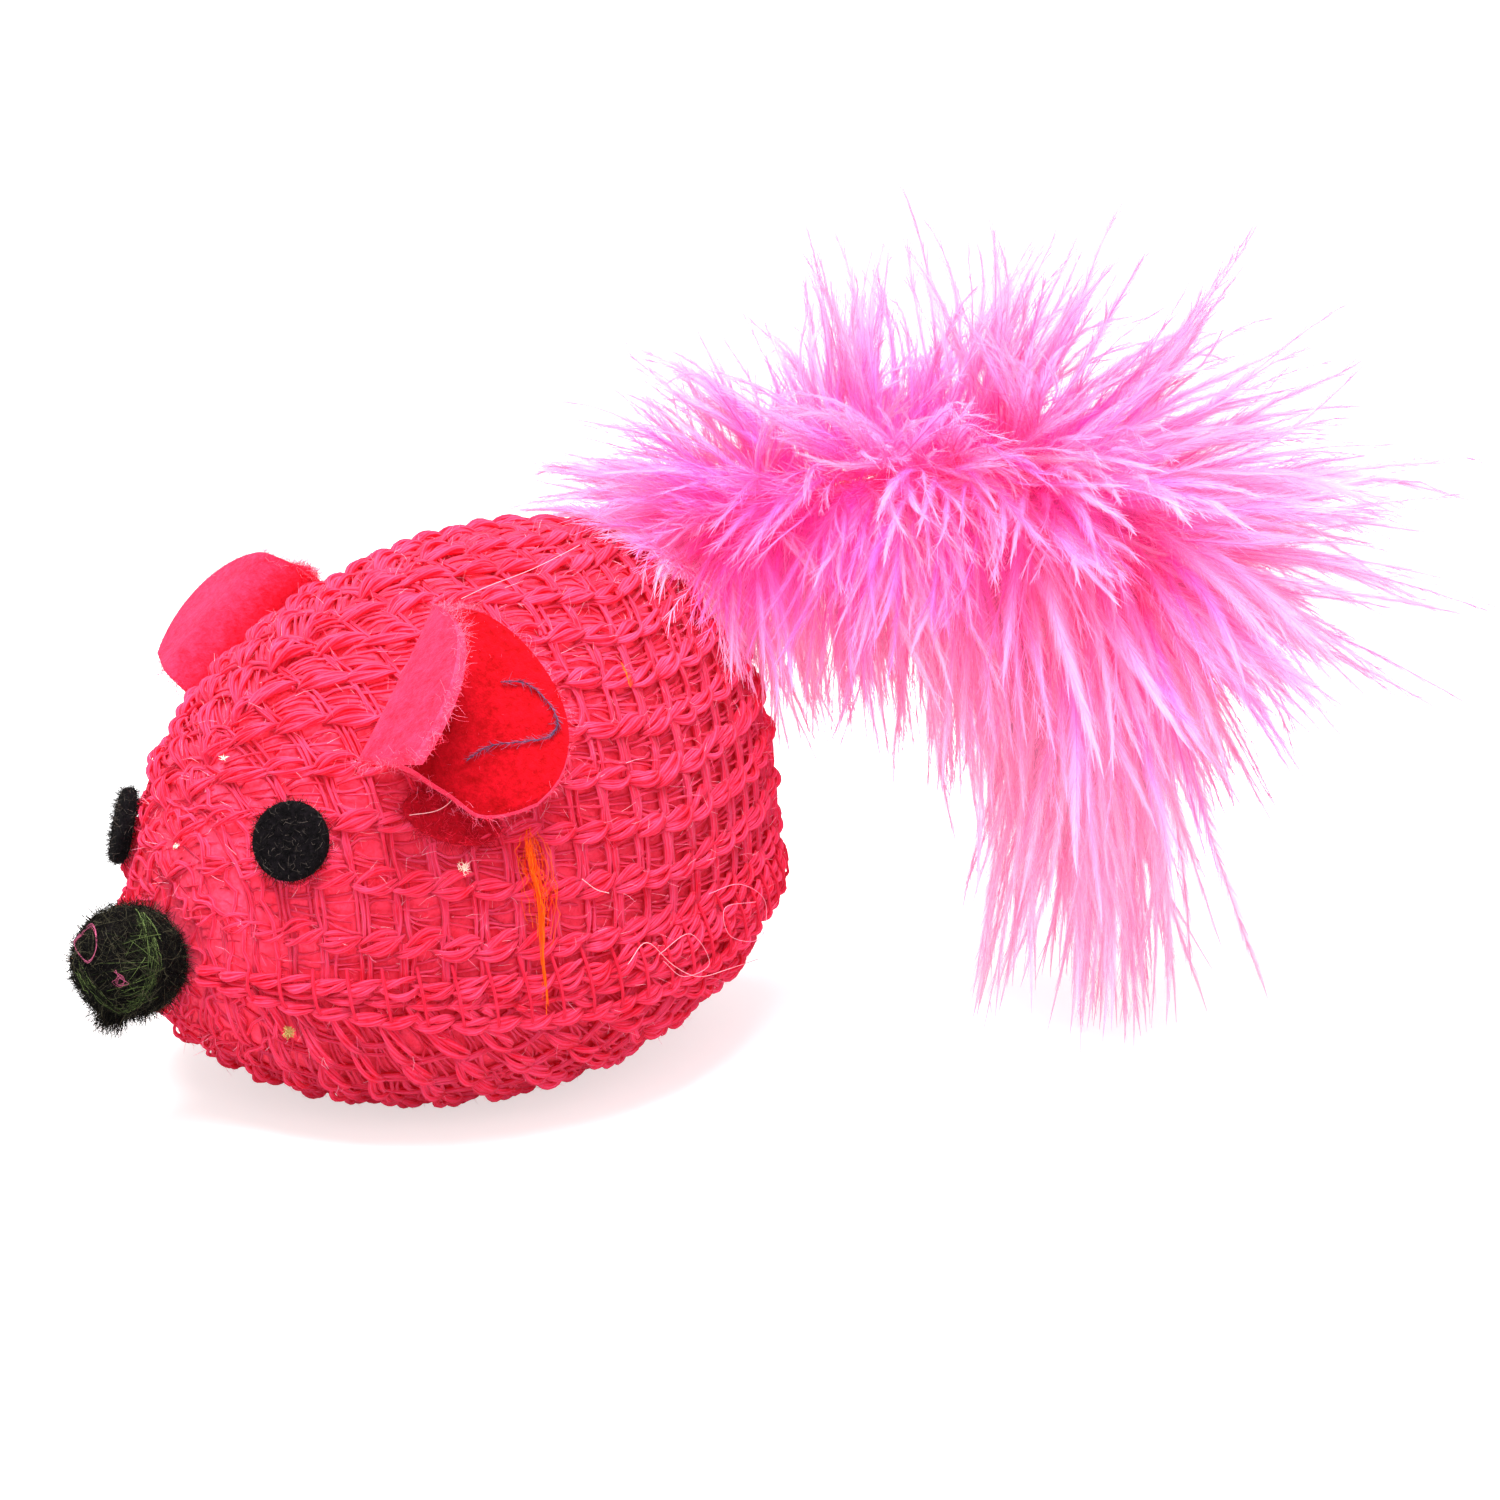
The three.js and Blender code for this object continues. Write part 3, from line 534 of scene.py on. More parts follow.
def yarn_finish(name, lit, deep, fuzz):
    """Soft plied yarn: its plies wind round each other with painted shade in their grooves, fine fibres
    run along them in streaks, and a faint painted glow lifts its shadows.
    """
    finish = Finish(name)
    around = finish.node("ShaderNodeSeparateXYZ")
    finish.feed(around, {"Vector": finish.attribute("round", "Vector")})
    flat_x, flat_y = finish.signal(around, "X"), finish.signal(around, "Y")
    angle = flat_y.maths("ARCTAN2", flat_y, flat_x)
    along = finish.attribute("along", "Fac")
    wind = angle * PLIES + along * PLY_TWIST
    plies = wind.maths("SINE", wind, 0.0) * 0.5 + 0.5
    lie = {"X": flat_x * 4, "Y": flat_y * 4, "Z": along * FIBRE_LIE}
    fibres = finish.noise(1.0, 3, 0.7, finish.signal(finish.node("ShaderNodeCombineXYZ", values=lie)))
    nap = finish.noise(2600, 3, 0.7)
    drift = finish.noise(420, 2, 0.5)
    # The ply term also darkens the colour in the grooves between the plies: painted shade.
    tone = finish.spread(plies * 0.15 + fibres * 0.3 + nap * 0.15 + drift * 0.4, 0.34, 0.64)
    finish.surface(
        Base_Color=finish.colours(tone, deep, lit),
        Roughness=0.9,
        Specular_IOR_Level=0.1,
        Sheen_Weight=fuzz,
        Sheen_Roughness=0.4,
        Sheen_Tint=shade(255, 170, 200),
        # Painted light: the yarn glows faintly in its deep colour, which lifts its shadows to red.
        Emission_Color=deep,
        Emission_Strength=0.13,
        Normal=finish.relief(plies * 0.35 + fibres * 0.4 + nap * 0.25, 0.0002),
    )
    finish.let_through(shade(255, 46, 78), 0.38)
    return finish


def hairs(rooted, lengths, thickness, curl, steps=4):
    """Short fibres: each starts at a place, leaves it in a direction and bends at random."""
    runs = []
    for (place, way), length in zip(rooted, lengths):
        points = [place]
        heading = way + chance.normal(0, curl, 3)
        for _ in range(steps - 1):
            heading = unit(heading) + chance.normal(0, curl, 3)
            points.append(points[-1] + unit(heading) * length / (steps - 1))
        runs.append((np.array(points), thickness * np.linspace(1, 0.35, steps)))
    return runs


def rooted_on(runs, count, lean):
    """Random roots on yarn runs, with the way that a fibre leaves there: along the yarn and outwards."""
    rooted = []
    for pick in chance.integers(0, len(runs), count):
        points = runs[pick][0]
        at = chance.integers(0, len(points) - 1)
        along = points[at + 1] - points[at]
        along = along / max(np.linalg.norm(along), 1e-9)
        rooted.append((points[at], along * lean + unit(chance.normal(0, 1, 3))))
    return rooted


def knit_nap(runs, count, longest):
    return hairs(rooted_on(runs, count, 1.2), chance.uniform(0.0006, longest, count), NAP_HAIR, 0.3, 3)


def mixed_wool(name, lit, deep):
    """Loose fibres of one dye lot, most of them deep in colour and a few much paler."""
    finish = Finish(name)
    share = finish.spread(finish.attribute("tint", "Fac"), 0.0, 0.9)
    finish.surface(Base_Color=finish.colours(share, deep, lit), Roughness=0.9, Specular_IOR_Level=0.1)
    return finish


def dyed(runs, power):
    """The same runs, each with a shade of its own; a higher power leaves fewer pale ones."""
    return [(*run, np.full(len(run[0]), chance.uniform(0, 1) ** power)) for run in runs]


def drawn_in(runs):
    """The same yarn, pulled thinner where the knit is gathered towards the nose."""
    nose_end = BODY_LENGTH * -REST_CENTRE_SHARE
    return [(p, r * np.interp(p[:, 1] - nose_end, (0, NOSE_GATHER), (0.55, 1))) for p, r in runs]


knit_yarn = yarn_finish("knit_yarn", shade(255, 86, 136), shade(232, 16, 42), 0.2)
# The nap is real fuzz, but its pale fibres also stand in for the highlights along the yarn: partly
# painted highlight.
knit_fuzz_and_highlight = mixed_wool("knit_fuzz_and_highlight", shade(255, 176, 200), shade(255, 84, 128))


def knit_panel(name, ridges, gaps, nap_runs):
    """A panel of knit as three pieces: the chained ridges, what crosses the gaps, and the nap."""
    return (
        strands(f"{name}_knit_ridges", ridges, knit_yarn, sides=4),
        strands(f"{name}_knit_posts", gaps, knit_yarn, sides=3),
        strands(f"{name}_knit_nap", dyed(nap_runs, 2.0), knit_fuzz_and_highlight, sides=3),
    )


JITTER = np.array([0.045, 0.00007, 0.06])
MOST_ROWS = 11
cells = [(s, r) for r in range(MOST_ROWS) for s in range(STITCHES)]
ridges, gaps = [], []
for side in (1, -1):
    made = knit_runs(lambda *where: upper_place(side, *where), cells, JITTER)
    ridges += made[0]
    gaps += made[1]
ridges, gaps = drawn_in(ridges), drawn_in(gaps)
for part in knit_panel("upper", ridges, gaps, knit_nap(ridges + gaps, 6500, 0.002)):
    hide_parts("upper_knit_cover")


# ---------------------------------------------------------------- belly knit panel
# A second, oval piece of the same knit closes the bag underneath. It was cut on the slant, so its
# ridges run across the belly at an angle, and its meshes are a little tighter.
BELLY_STITCH = 0.0034
BELLY_ROW = 0.0043
BELLY_SLANT = math.radians(40)
QUARTER_TURN = math.pi / 2

belly_turns = np.linspace(3 * QUARTER_TURN, 4 * QUARTER_TURN, 200)
belly_fraction = even_steps(body_points(0.45, belly_turns), belly_turns)
length_shares = np.linspace(0.001, 0.999, 400)
belly_line = body_points(length_shares, 3 * QUARTER_TURN)
belly_run = run_lengths(belly_line)
half_arcs = np.array([run_lengths(body_points(share, belly_turns))[-1] for share in length_shares])


def belly_place(stitch, row, depth):
    """Places on the belly by distance along and across it, seen from below; outside its edge is nan."""
    along = BELLY_STITCH * stitch * math.cos(BELLY_SLANT) + BELLY_ROW * row * math.sin(BELLY_SLANT)
    across = -BELLY_STITCH * stitch * math.sin(BELLY_SLANT) + BELLY_ROW * row * math.cos(BELLY_SLANT)
    along = along + belly_run[-1] / 2
    share = np.interp(along, belly_run, length_shares)
    fraction = across / np.interp(share, length_shares, half_arcs)
    turn = 3 * QUARTER_TURN + np.sign(fraction) * (belly_fraction(np.abs(fraction)) - 3 * QUARTER_TURN)
    places = on_body(share, turn, depth)
    outside = (np.abs(fraction) > 1) | (along < 0) | (along > belly_run[-1])
    places[outside] = np.nan
    return places


BELLY_REACH = 13
belly_cells = [
    (s, r) for r in range(-BELLY_REACH, BELLY_REACH) for s in range(-BELLY_REACH - 4, BELLY_REACH + 4)
]
ridges, gaps = (drawn_in(runs) for runs in knit_runs(belly_place, belly_cells, JITTER * 1.3, slant=0.5))
nap_runs = knit_nap(ridges, 2400, 0.0018)
for points, _ in nap_runs:
    points[:, 2] = np.maximum(points[:, 2], 0.0001)
for part in knit_panel("belly", ridges, gaps, nap_runs):
    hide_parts("belly_knit_panel")


# ---------------------------------------------------------------- gathered ends and belly seam
# At the nose and at the rump the knit is drawn in tight and bunches in rings, and at the rump its
# strands run across the end. The two long edges are chained in yarn and stand up as a welt; a sewing
# thread whips across them.
SEAM_STITCHES = 27
seam_share = even_steps(body_points(fine_shares, 0.0), fine_shares)


def seam_chain(turn_shift, side_turn, drop):
    """A chain of loops that runs along the seam on one side of the body."""
    runs = []
    for stitch in range(SEAM_STITCHES):
        for side in (-1, 1):
            across, height, depth, radius = loop_strand(side, chance.normal(0, 1, 3) * JITTER)
            share = seam_share(np.clip((stitch + across) / SEAM_STITCHES, 0, 1))
            turn = side_turn + turn_shift + height * drop
            for ply in two_plies(turn, depth - 0.0005, radius * 0.8, BODY_WIDTH / 2):
                runs.append((on_body(share, ply[0], ply[1]), ply[2]))
    return runs


COLLAR_SHARES = (0.004, 0.01, 0.017, 0.026, 0.036, 0.048, 0.945, 0.96, 0.972, 0.982, 0.99, 0.9945, 0.9975)
COLLAR_DEPTH = 0.0005
collar_turns = np.linspace(0, 2 * math.pi, 90)
collar_runs = []
for share in COLLAR_SHARES:
    puckers = sum(
        chance.normal(0, 2 / math.sqrt(pleats)) * np.sin(collar_turns * pleats + chance.uniform(0, 6))
        for pleats in (5, 9, 14, 23)
    )
    ring_shares = share + 0.0035 * puckers * min(1, 40 * min(share, 1 - share) + 0.2)
    ring = on_body(ring_shares, collar_turns, COLLAR_DEPTH + 0.00018 * np.roll(puckers, 7))
    collar_runs.append((ring, np.full(len(ring), YARN * chance.uniform(0.5, 0.75))))
CROSSING_SHARES = np.array([0.965, 0.982, 0.991, 0.996, 0.9985])
for turn in np.radians(np.concatenate([np.linspace(4, 84, 15), np.linspace(-6, -84, 9)])):
    turns = turn + chance.normal(0, 0.03, len(CROSSING_SHARES))
    near_side = on_body(CROSSING_SHARES, turns, COLLAR_DEPTH)
    far_side = on_body(CROSSING_SHARES, HALF_TURN - turns, COLLAR_DEPTH)
    crossing = np.vstack([near_side, far_side[::-1]])
    collar_runs.append((crossing, np.full(len(crossing), YARN * chance.uniform(0.6, 0.85))))
collars = strands("gathered_ends", drawn_in(collar_runs), knit_yarn)
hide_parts("upper_knit_cover")

welt_runs = []
for side_turn, drop in ((0.0, 0.13), (HALF_TURN, -0.13)):
    welt_runs += seam_chain(0.4 * drop, side_turn, drop) + seam_chain(-0.5 * drop, side_turn, drop)
welt = strands("seam_welt", welt_runs, knit_yarn)
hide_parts("upper_knit_cover")

WHIP_THREAD = 0.00015
whip_runs = []
for side_turn in (0.0, HALF_TURN):
    for stitch in range(2, SEAM_STITCHES - 1):
        way = np.linspace(0, 1, 7)
        share = seam_share((stitch + 0.35 * way) / SEAM_STITCHES)
        turn = side_turn + (0.11 - 0.22 * way) * (1 if side_turn == 0 else -1)
        depth = 0.0004 - 0.0012 * np.sin(math.pi * way)
        whip_runs.append((on_body(share, turn, depth), WHIP_THREAD))
sewing_thread = yarn_finish("sewing_thread", shade(250, 60, 100), shade(214, 22, 54), 0.1)
whip = strands("seam_whip_stitches", whip_runs, sewing_thread)
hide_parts("belly_seam_thread")


# ---------------------------------------------------------------- nose
# A wool pompom is glued into the gathered end of the knit. It is nearly black, teased out all round,
# with green and pink fibres caught in it and an unpicked tuft at the bottom.
NOSE_RADIUS = 0.0046
NOSE_HAIR = 0.000032
WOUND_HAIRS = 2300
LOOSE_HAIRS = 1500
TUFT_HAIRS = 600
NOSE_REACH = 0.0051
nose_low, nose_high = (np.array(corner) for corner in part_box("nose_pompom"))
nose_middle = (nose_low[0] + nose_high[0]) / 2
nose_centre = np.array([nose_middle, nose_low[1] + NOSE_REACH, nose_high[2] - NOSE_REACH])


def ball(name, centre, radius, finish, body="body", lumps=0.0):
    bm = bmesh.new()
    bmesh.ops.create_icosphere(bm, subdivisions=4, radius=radius)
    for vert in bm.verts:
        way = vert.co.normalized()
        bump = math.sin(7 * way.x + 3) * math.cos(6 * way.z + 2 * way.y)
        vert.co = Vector(centre) + vert.co * (1 + lumps * bump)
    return piece(name, mesh_from(bm, name), finish, body=body)


def wool_finish(name, lit, deep, scale=3000):
    finish = Finish(name)
    grain = finish.noise(scale, 3, 0.7)
    finish.surface(
        Base_Color=finish.colours(finish.spread(grain, 0.35, 0.65), deep, lit),
        Roughness=0.95,
        Specular_IOR_Level=0.05,
        Normal=finish.relief(grain, 0.0003),
    )
    return finish


def wound_hairs(count, radius, length, thickness):
    """Fibres that lie round a ball in loose curves, some of them lifting off at the end."""
    runs = []
    for _ in range(count):
        out = unit(chance.normal(0, 1, 3))
        way = unit(np.cross(out, chance.normal(0, 1, 3)))
        reach = length * chance.uniform(0.5, 1.0) / radius
        lift = chance.uniform(0.0, 0.12) * radius
        turns = np.linspace(0, reach, 6)
        rise = radius * chance.uniform(0.97, 1.06) + lift * (turns / reach) ** 2
        points = (np.cos(turns)[:, None] * out + np.sin(turns)[:, None] * way) * rise[:, None]
        points += chance.normal(0, 0.00012, points.shape)
        runs.append((nose_centre + points, thickness * np.linspace(1, 0.4, 6)))
    return runs


nose_wool = wool_finish("nose_wool", shade(26, 22, 22), shade(5, 4, 5))
nose_fibre = mixed_wool("nose_fibre", shade(84, 80, 62), shade(5, 4, 5))
nose_core = ball("nose_core", nose_centre, NOSE_RADIUS, nose_wool, lumps=0.05)
teased = wound_hairs(WOUND_HAIRS, NOSE_RADIUS, 0.0045, NOSE_HAIR)
loose_ways = [unit(chance.normal(0, 1, 3)) for _ in range(LOOSE_HAIRS)]
loose_roots = [(nose_centre + NOSE_RADIUS * 0.98 * way, way) for way in loose_ways]
teased += hairs(loose_roots, chance.uniform(0.0008, 0.0019, LOOSE_HAIRS), NOSE_HAIR * 1.15, 0.3)
tuft_way = unit(np.array([0.12, -0.45, -0.88]))
tuft_root = nose_centre + tuft_way * NOSE_RADIUS * 0.8
tuft_roots = [(tuft_root + chance.normal(0, 0.0006, 3), tuft_way) for _ in range(TUFT_HAIRS)]
teased += hairs(tuft_roots, chance.uniform(0.0014, 0.003, TUFT_HAIRS), NOSE_HAIR, 0.22)
nose_hair = strands("nose_wool_fibres", dyed(teased, 7.0), nose_fibre, sides=3)
for wool in (nose_core, nose_hair):
    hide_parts("nose_pompom")


def band_on_nose(start, end, count, spread):
    """A lock of coloured fibres that lies across the pompom between two directions."""
    runs = []
    for _ in range(count):
        first = np.array(start) + chance.normal(0, spread, 3)
        last = np.array(end) + chance.normal(0, spread, 3)
        ways = first + np.linspace(0, 1, 8)[:, None] * (last - first)
        ways /= np.linalg.norm(ways, axis=1, keepdims=True)
        rise = NOSE_RADIUS * (chance.uniform(1.03, 1.1) + chance.normal(0, 0.012, (8, 1)))
        runs.append((nose_centre + ways * rise, NOSE_HAIR * np.linspace(1, 0.5, 8)))
    return runs


def seen_way(right, up, toward=0.8):
    """A direction from the pompom's middle, given as it is seen in the view."""
    return np.array(RIGHT) * right + np.array(UP) * up + np.array(BACK) * toward


green_wool = mixed_wool("green_fibres", shade(116, 136, 78), shade(22, 30, 15))
STRIPE = ((0.3, 0.86, 0.5), (0.5, 0.4), (0.56, 0.0), (0.48, -0.5), (0.2, -0.85))
HOOK = ((-0.75, -0.15, 0.6), (-0.5, -0.5), (-0.1, -0.85, 0.5), (0.3, -0.8))
green_runs = []
for spots, count in ((STRIPE, 24), (HOOK, 18)):
    for first, last in zip(spots, spots[1:]):
        green_runs += band_on_nose(seen_way(*first), seen_way(*last), count, 0.085)
for level in np.linspace(-0.6, 0.7, 12):
    inner_end = seen_way(chance.uniform(-0.3, 0.25), level - chance.uniform(-0.1, 0.3))
    green_runs += band_on_nose(seen_way(0.48, level), inner_end, 4, 0.14)
green_lock = strands("nose_green_fibres", dyed(green_runs, 2.6), green_wool, sides=3)
pink_wool = mixed_wool("pink_fibres", shade(190, 92, 128), shade(112, 48, 60))
PINK_LOOP = ((-0.88, 0.36), (-0.52, 0.62), (-0.42, 0.30), (-0.58, 0.02), (-0.86, 0.32), (-0.7, 0.5))
BROWN_CURL = ((-0.1, -0.14), (0.0, -0.2), (0.06, -0.3), (-0.04, -0.36), (-0.12, -0.26), (-0.02, -0.18))
pink_runs = []
for spots in (PINK_LOOP,) * 4 + (BROWN_CURL,) * 4:
    loose_spots = np.array(spots) + chance.normal(0, 0.025, (len(spots), 2))
    ways = [seen_way(r, u, math.sqrt(max(0.05, 1 - r * r - u * u))) for r, u in loose_spots]
    line = smooth_run([nose_centre + way * NOSE_RADIUS * 1.1 for way in ways], 5)
    pink_runs.append((line, NOSE_HAIR * 0.8))
pink_loop = strands("nose_pink_fibres", dyed(pink_runs, 1.0), pink_wool, sides=3)
amber_wool = mixed_wool("amber_fibres", shade(200, 130, 70), shade(120, 76, 40))
amber_root = (nose_centre + seen_way(-0.95, 0.05, 0.1) * NOSE_RADIUS, seen_way(-0.8, 0.2, 0.2))
amber_runs = hairs([amber_root] * 16, chance.uniform(0.0006, 0.0012, 16), NOSE_HAIR, 0.5)
amber_wisp = strands("nose_amber_fibres", dyed(amber_runs, 1.0), amber_wool, sides=3)


# ---------------------------------------------------------------- eyes
# Each eye is a punched dot of thick black felt, glued flat on the knit, with a fuzzy rim.
EYE_RADIUS = 0.0034
EYE_LIFT = 0.0001
EYE_FELT = 0.0013
FELT_BEND = 0.8
EYES = {"left": (0.086, math.radians(40)), "right": (0.052, math.radians(147.5))}


def pad_place(share, turn, u, v, lift):
    """A place on a pad that bends with the body: u rearwards and v round it, in metres."""
    step = 1e-3
    rearward = (body_points(share + step, turn) - body_points(share - step, turn)) / (2 * step)
    around = (body_points(share, turn + step) - body_points(share, turn - step)) / (2 * step)
    along = unit(rearward)
    beside = np.cross(body_outward(share, turn), along)
    slopes = np.array([[rearward @ along, around @ along], [rearward @ beside, around @ beside]])
    rearward_step, turn_step = np.linalg.solve(slopes, (u, v))
    flat = on_body(share, turn) + along * u + beside * v
    out = body_outward(share, turn)
    bend = FELT_BEND * (on_body(share + rearward_step, turn + turn_step) - flat) @ out
    return flat + out * (lift + bend)


def felt_dot(name, share, turn, squeeze, slant, radius, lift, thick, finish):
    """A punched dot of felt, or one squeezed to an oval, that lies on the body with worn edges."""
    bm = bmesh.new()
    bmesh.ops.create_circle(bm, cap_ends=True, segments=40, radius=radius)
    grown = bmesh.ops.extrude_face_region(bm, geom=bm.faces[:])
    top = [item for item in grown["geom"] if isinstance(item, bmesh.types.BMVert)]
    bmesh.ops.translate(bm, verts=top, vec=(0, 0, thick))
    rims = [edge for edge in bm.edges if len(edge.link_faces) == 2 and edge.calc_face_angle() > 1]
    worn = thick * 0.4
    bmesh.ops.bevel(bm, geom=rims, offset=worn, segments=4, profile=0.5, affect="EDGES", material=-1)
    lids = [face for face in bm.faces if len(face.verts) > 10]
    for _ in range(4):
        bmesh.ops.inset_region(bm, faces=lids, thickness=radius * 0.2)
    bmesh.ops.recalc_face_normals(bm, faces=bm.faces)
    # The bevel leaves no fixed order, and the nap is rooted by it, so points and faces are sorted.
    sorted_verts = sorted(bm.verts, key=lambda vert: vert.co.to_tuple(7))
    number = {vert: k for k, vert in enumerate(sorted_verts)}
    rings = [[number[vert] for vert in face.verts] for face in bm.faces]
    starts = [ring.index(min(ring)) for ring in rings]
    faces = sorted(ring[start:] + ring[:start] for ring, start in zip(rings, starts))
    places = []
    for vert in sorted_verts:
        flat = Matrix.Rotation(slant, 2) @ Vector((vert.co.x, vert.co.y * squeeze))
        places.append(pad_place(share, turn, flat.x, flat.y, lift + vert.co.z))
    bm.free()
    mesh = bpy.data.meshes.new(name)
    mesh.from_pydata(places, [], faces)
    return piece(name, mesh, finish)


def roots_on(made, count, lean):
    """Random places on a piece's surface, with the way out there, turned at random by the lean."""
    mesh = made.data
    mesh.calc_loop_triangles()
    corners = np.array([[mesh.vertices[v].co for v in t.vertices] for t in mesh.loop_triangles])
    cross = np.cross(corners[:, 1] - corners[:, 0], corners[:, 2] - corners[:, 0])
    area = np.linalg.norm(cross, axis=1)
    picks = chance.choice(len(corners), count, p=area / area.sum())
    mix = chance.dirichlet((1, 1, 1), count)
    places = np.einsum("nk,nkd->nd", mix, corners[picks])
    ways = cross[picks] / np.maximum(area[picks], 1e-15)[:, None]
    flow = chance.normal(0, 1, (count, 3))
    ways = ways * (1 - lean) + flow / np.linalg.norm(flow, axis=1, keepdims=True) * lean
    return list(zip(places, ways))


def felt_nap(made, count, lean, lengths, thickness, curl):
    return hairs(roots_on(made, count, lean), chance.uniform(*lengths, count), thickness, curl, 3)


eye_felt = wool_finish("eye_felt", shade(20, 16, 19), shade(4, 3, 4), 2400)
eye_fibre = mixed_wool("eye_fibre", shade(96, 86, 80), shade(5, 4, 5))
for side, (share, turn) in EYES.items():
    dot = felt_dot(f"felt_eye_{side}", share, turn, 1, 0, EYE_RADIUS, EYE_LIFT, EYE_FELT, eye_felt)
    dot_hair = felt_nap(dot, 1800, 0.7, (0.0003, 0.0011), 0.000026, 0.4)
    nap = strands(f"felt_eye_{side}_nap", dyed(dot_hair, 9.0), eye_fibre, sides=3)
    for felt in (dot, nap):
        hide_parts(f"eye_{side}")


# ---------------------------------------------------------------- ears
# Each ear is a cut of red felt. Its front third is folded over outwards to make a cup, and it is
# glued on by its foot. Both were cut and glued by hand, so they differ. Cut edges are pale with fuzz.
EAR_REAR_WIDTH = 0.0126
EAR_FLAP_WIDTH = 0.0100
EAR_FOLD_RADIUS = 0.0022
EAR_FOLD_TURN = math.radians(120)
EAR_CUP_RADIUS = 0.045
EAR_FOLD_OFFSET = 0.0054
EAR_WIDEST = 0.33
EAR_REAR_TRIM = smooth_run(
    [(-0.2, 0.8), (-0.1, 0.98), (0.03, 1.03), (0.18, 1), (0.48, 0.88), (0.84, 0.7), (1, 0.6)], 8
)
LEFT_FOOT = ((-1, 0.0), (-0.5, 0.07), (0, 0.14), (0.35, 0.03), (0.7, -0.09), (0.9, -0.09), (1, -0.03))
RIGHT_FOOT = ((-1, -0.1), (-0.5, -0.15), (0, -0.2), (0.35, -0.2), (0.7, -0.15), (1, 0.0))
EAR_FELT = 0.00115
EAR_STAND = 0.00145
EAR_TOP = 0.985
RIM_HAIRS = 2200
EARS = {
    "left": dict(
        height=0.0172, share=0.285, turn=32.8, dip=24, lean=-6, rake=15, curl=0.060, forefoot=0.0030,
        foot=smooth_run(LEFT_FOOT, 8),
    ),
    "right": dict(
        height=0.0128, share=0.37, turn=28.7, dip=36.9, lean=1.5, rake=9, curl=0.086, forefoot=0.0,
        foot=smooth_run(RIGHT_FOOT, 8),
    ),
}


def turned_about(vector, axis, angle):
    return np.array(Matrix.Rotation(angle, 3, Vector(axis)) @ Vector(vector))


def ear_frame(at):
    """Where an ear's foot stands, and its ways rearwards, up and outwards."""
    share, turn, step = at["share"], math.radians(at["turn"]), 1e-3
    out = body_outward(share, turn)
    rearward = body_points(share + step, turn) - body_points(share - step, turn)
    along = turned_about(rearward / np.linalg.norm(rearward), out, -math.radians(at["dip"]))
    lean = math.radians(at["lean"])
    up = turned_about(np.cross(out, along), along, lean)
    return body_points(share, turn) + out * EAR_STAND, along, up, turned_about(out, along, lean)


def ear_place(at, frame_of_ear, reach, height_share):
    """A place on the felt: reach runs from -1 at the flap's edge over the fold at 0 to 1 at the rear."""
    foot, along, up, facing = frame_of_ear
    width = math.sqrt(max(0.0, 1 - ((height_share - EAR_WIDEST) / (1 - EAR_WIDEST)) ** 2))
    forward = at["forefoot"] * (1 - height_share) ** 1.2
    if reach >= 0:
        width *= np.interp(height_share, *EAR_REAR_TRIM.T)
        turn = reach * EAR_REAR_WIDTH * width / EAR_CUP_RADIUS
        rear, out = EAR_CUP_RADIUS * math.sin(turn), EAR_CUP_RADIUS * (1 - math.cos(turn))
    else:
        distance = -reach * (EAR_FLAP_WIDTH * width + forward)
        turn = min(distance / EAR_FOLD_RADIUS, EAR_FOLD_TURN)
        straight = max(0.0, distance - EAR_FOLD_RADIUS * EAR_FOLD_TURN)
        rear = -EAR_FOLD_RADIUS * math.sin(turn) - straight * math.cos(turn)
        out = EAR_FOLD_RADIUS * (1 - math.cos(turn)) + straight * math.sin(turn)
    height = at["height"] * height_share
    back = rear - EAR_FOLD_OFFSET - forward * min(1.0, 1 - reach)
    back += height * math.tan(math.radians(at["rake"]))
    return foot + along * back + facing * (out - height ** 2 / (2 * at["curl"])) + up * height


def foot_drop(at, reach, height_share):
    """The foot is cut by hand: its edge rises and falls along the ear."""
    return height_share + np.interp(reach, *at["foot"].T) * (1 - height_share)


def felt_ear(name, at, mirrored, *finishes):
    bm = bmesh.new()
    bmesh.ops.create_grid(bm, x_segments=40, y_segments=26, size=1)
    frame_of_ear = ear_frame(at)
    for vert in bm.verts:
        reach, level = vert.co.x, (vert.co.y + 1) / 2
        share = math.sin(math.pi / 2 * level * EAR_TOP)
        place = ear_place(at, frame_of_ear, reach, foot_drop(at, reach, share))
        vert.co = Vector(place)
        if mirrored:
            vert.co.x = -vert.co.x
    if mirrored:
        bmesh.ops.reverse_faces(bm, faces=bm.faces)
    made = piece(name, mesh_from(bm, name), *finishes, body=name)
    thick = made.modifiers.new("felt", "SOLIDIFY")
    thick.thickness = EAR_FELT
    thick.offset = 0
    thick.material_offset = 1
    thick.material_offset_rim = 2
    rounded = made.modifiers.new("worn_edge", "BEVEL")
    rounded.width = 0.0003
    rounded.segments = 2
    return made


def rim_roots(at, mirrored, count):
    """Roots on the cut edge of an ear, with the way out of the felt there."""
    frame_of_ear = ear_frame(at)
    rooted = []
    for _ in range(count):
        part, where = chance.integers(0, 5), chance.uniform(0, 1)
        level, along = math.sin(math.pi / 2 * where * EAR_TOP), where * 2 - 1
        reach, level = ((-1, level), (1, level), (along, 0.0), (-1, level), (along, 0.99))[part]
        level = foot_drop(at, reach, level)
        place = np.array(ear_place(at, frame_of_ear, reach, level)) + chance.normal(0, EAR_FELT / 4, 3)
        inside = np.array(ear_place(at, frame_of_ear, reach * 0.8, 0.35 + (level - 0.35) * 0.85))
        way = unit(place - inside)
        if mirrored:
            place[0], way[0] = -place[0], -way[0]
        rooted.append((place, way))
    return rooted


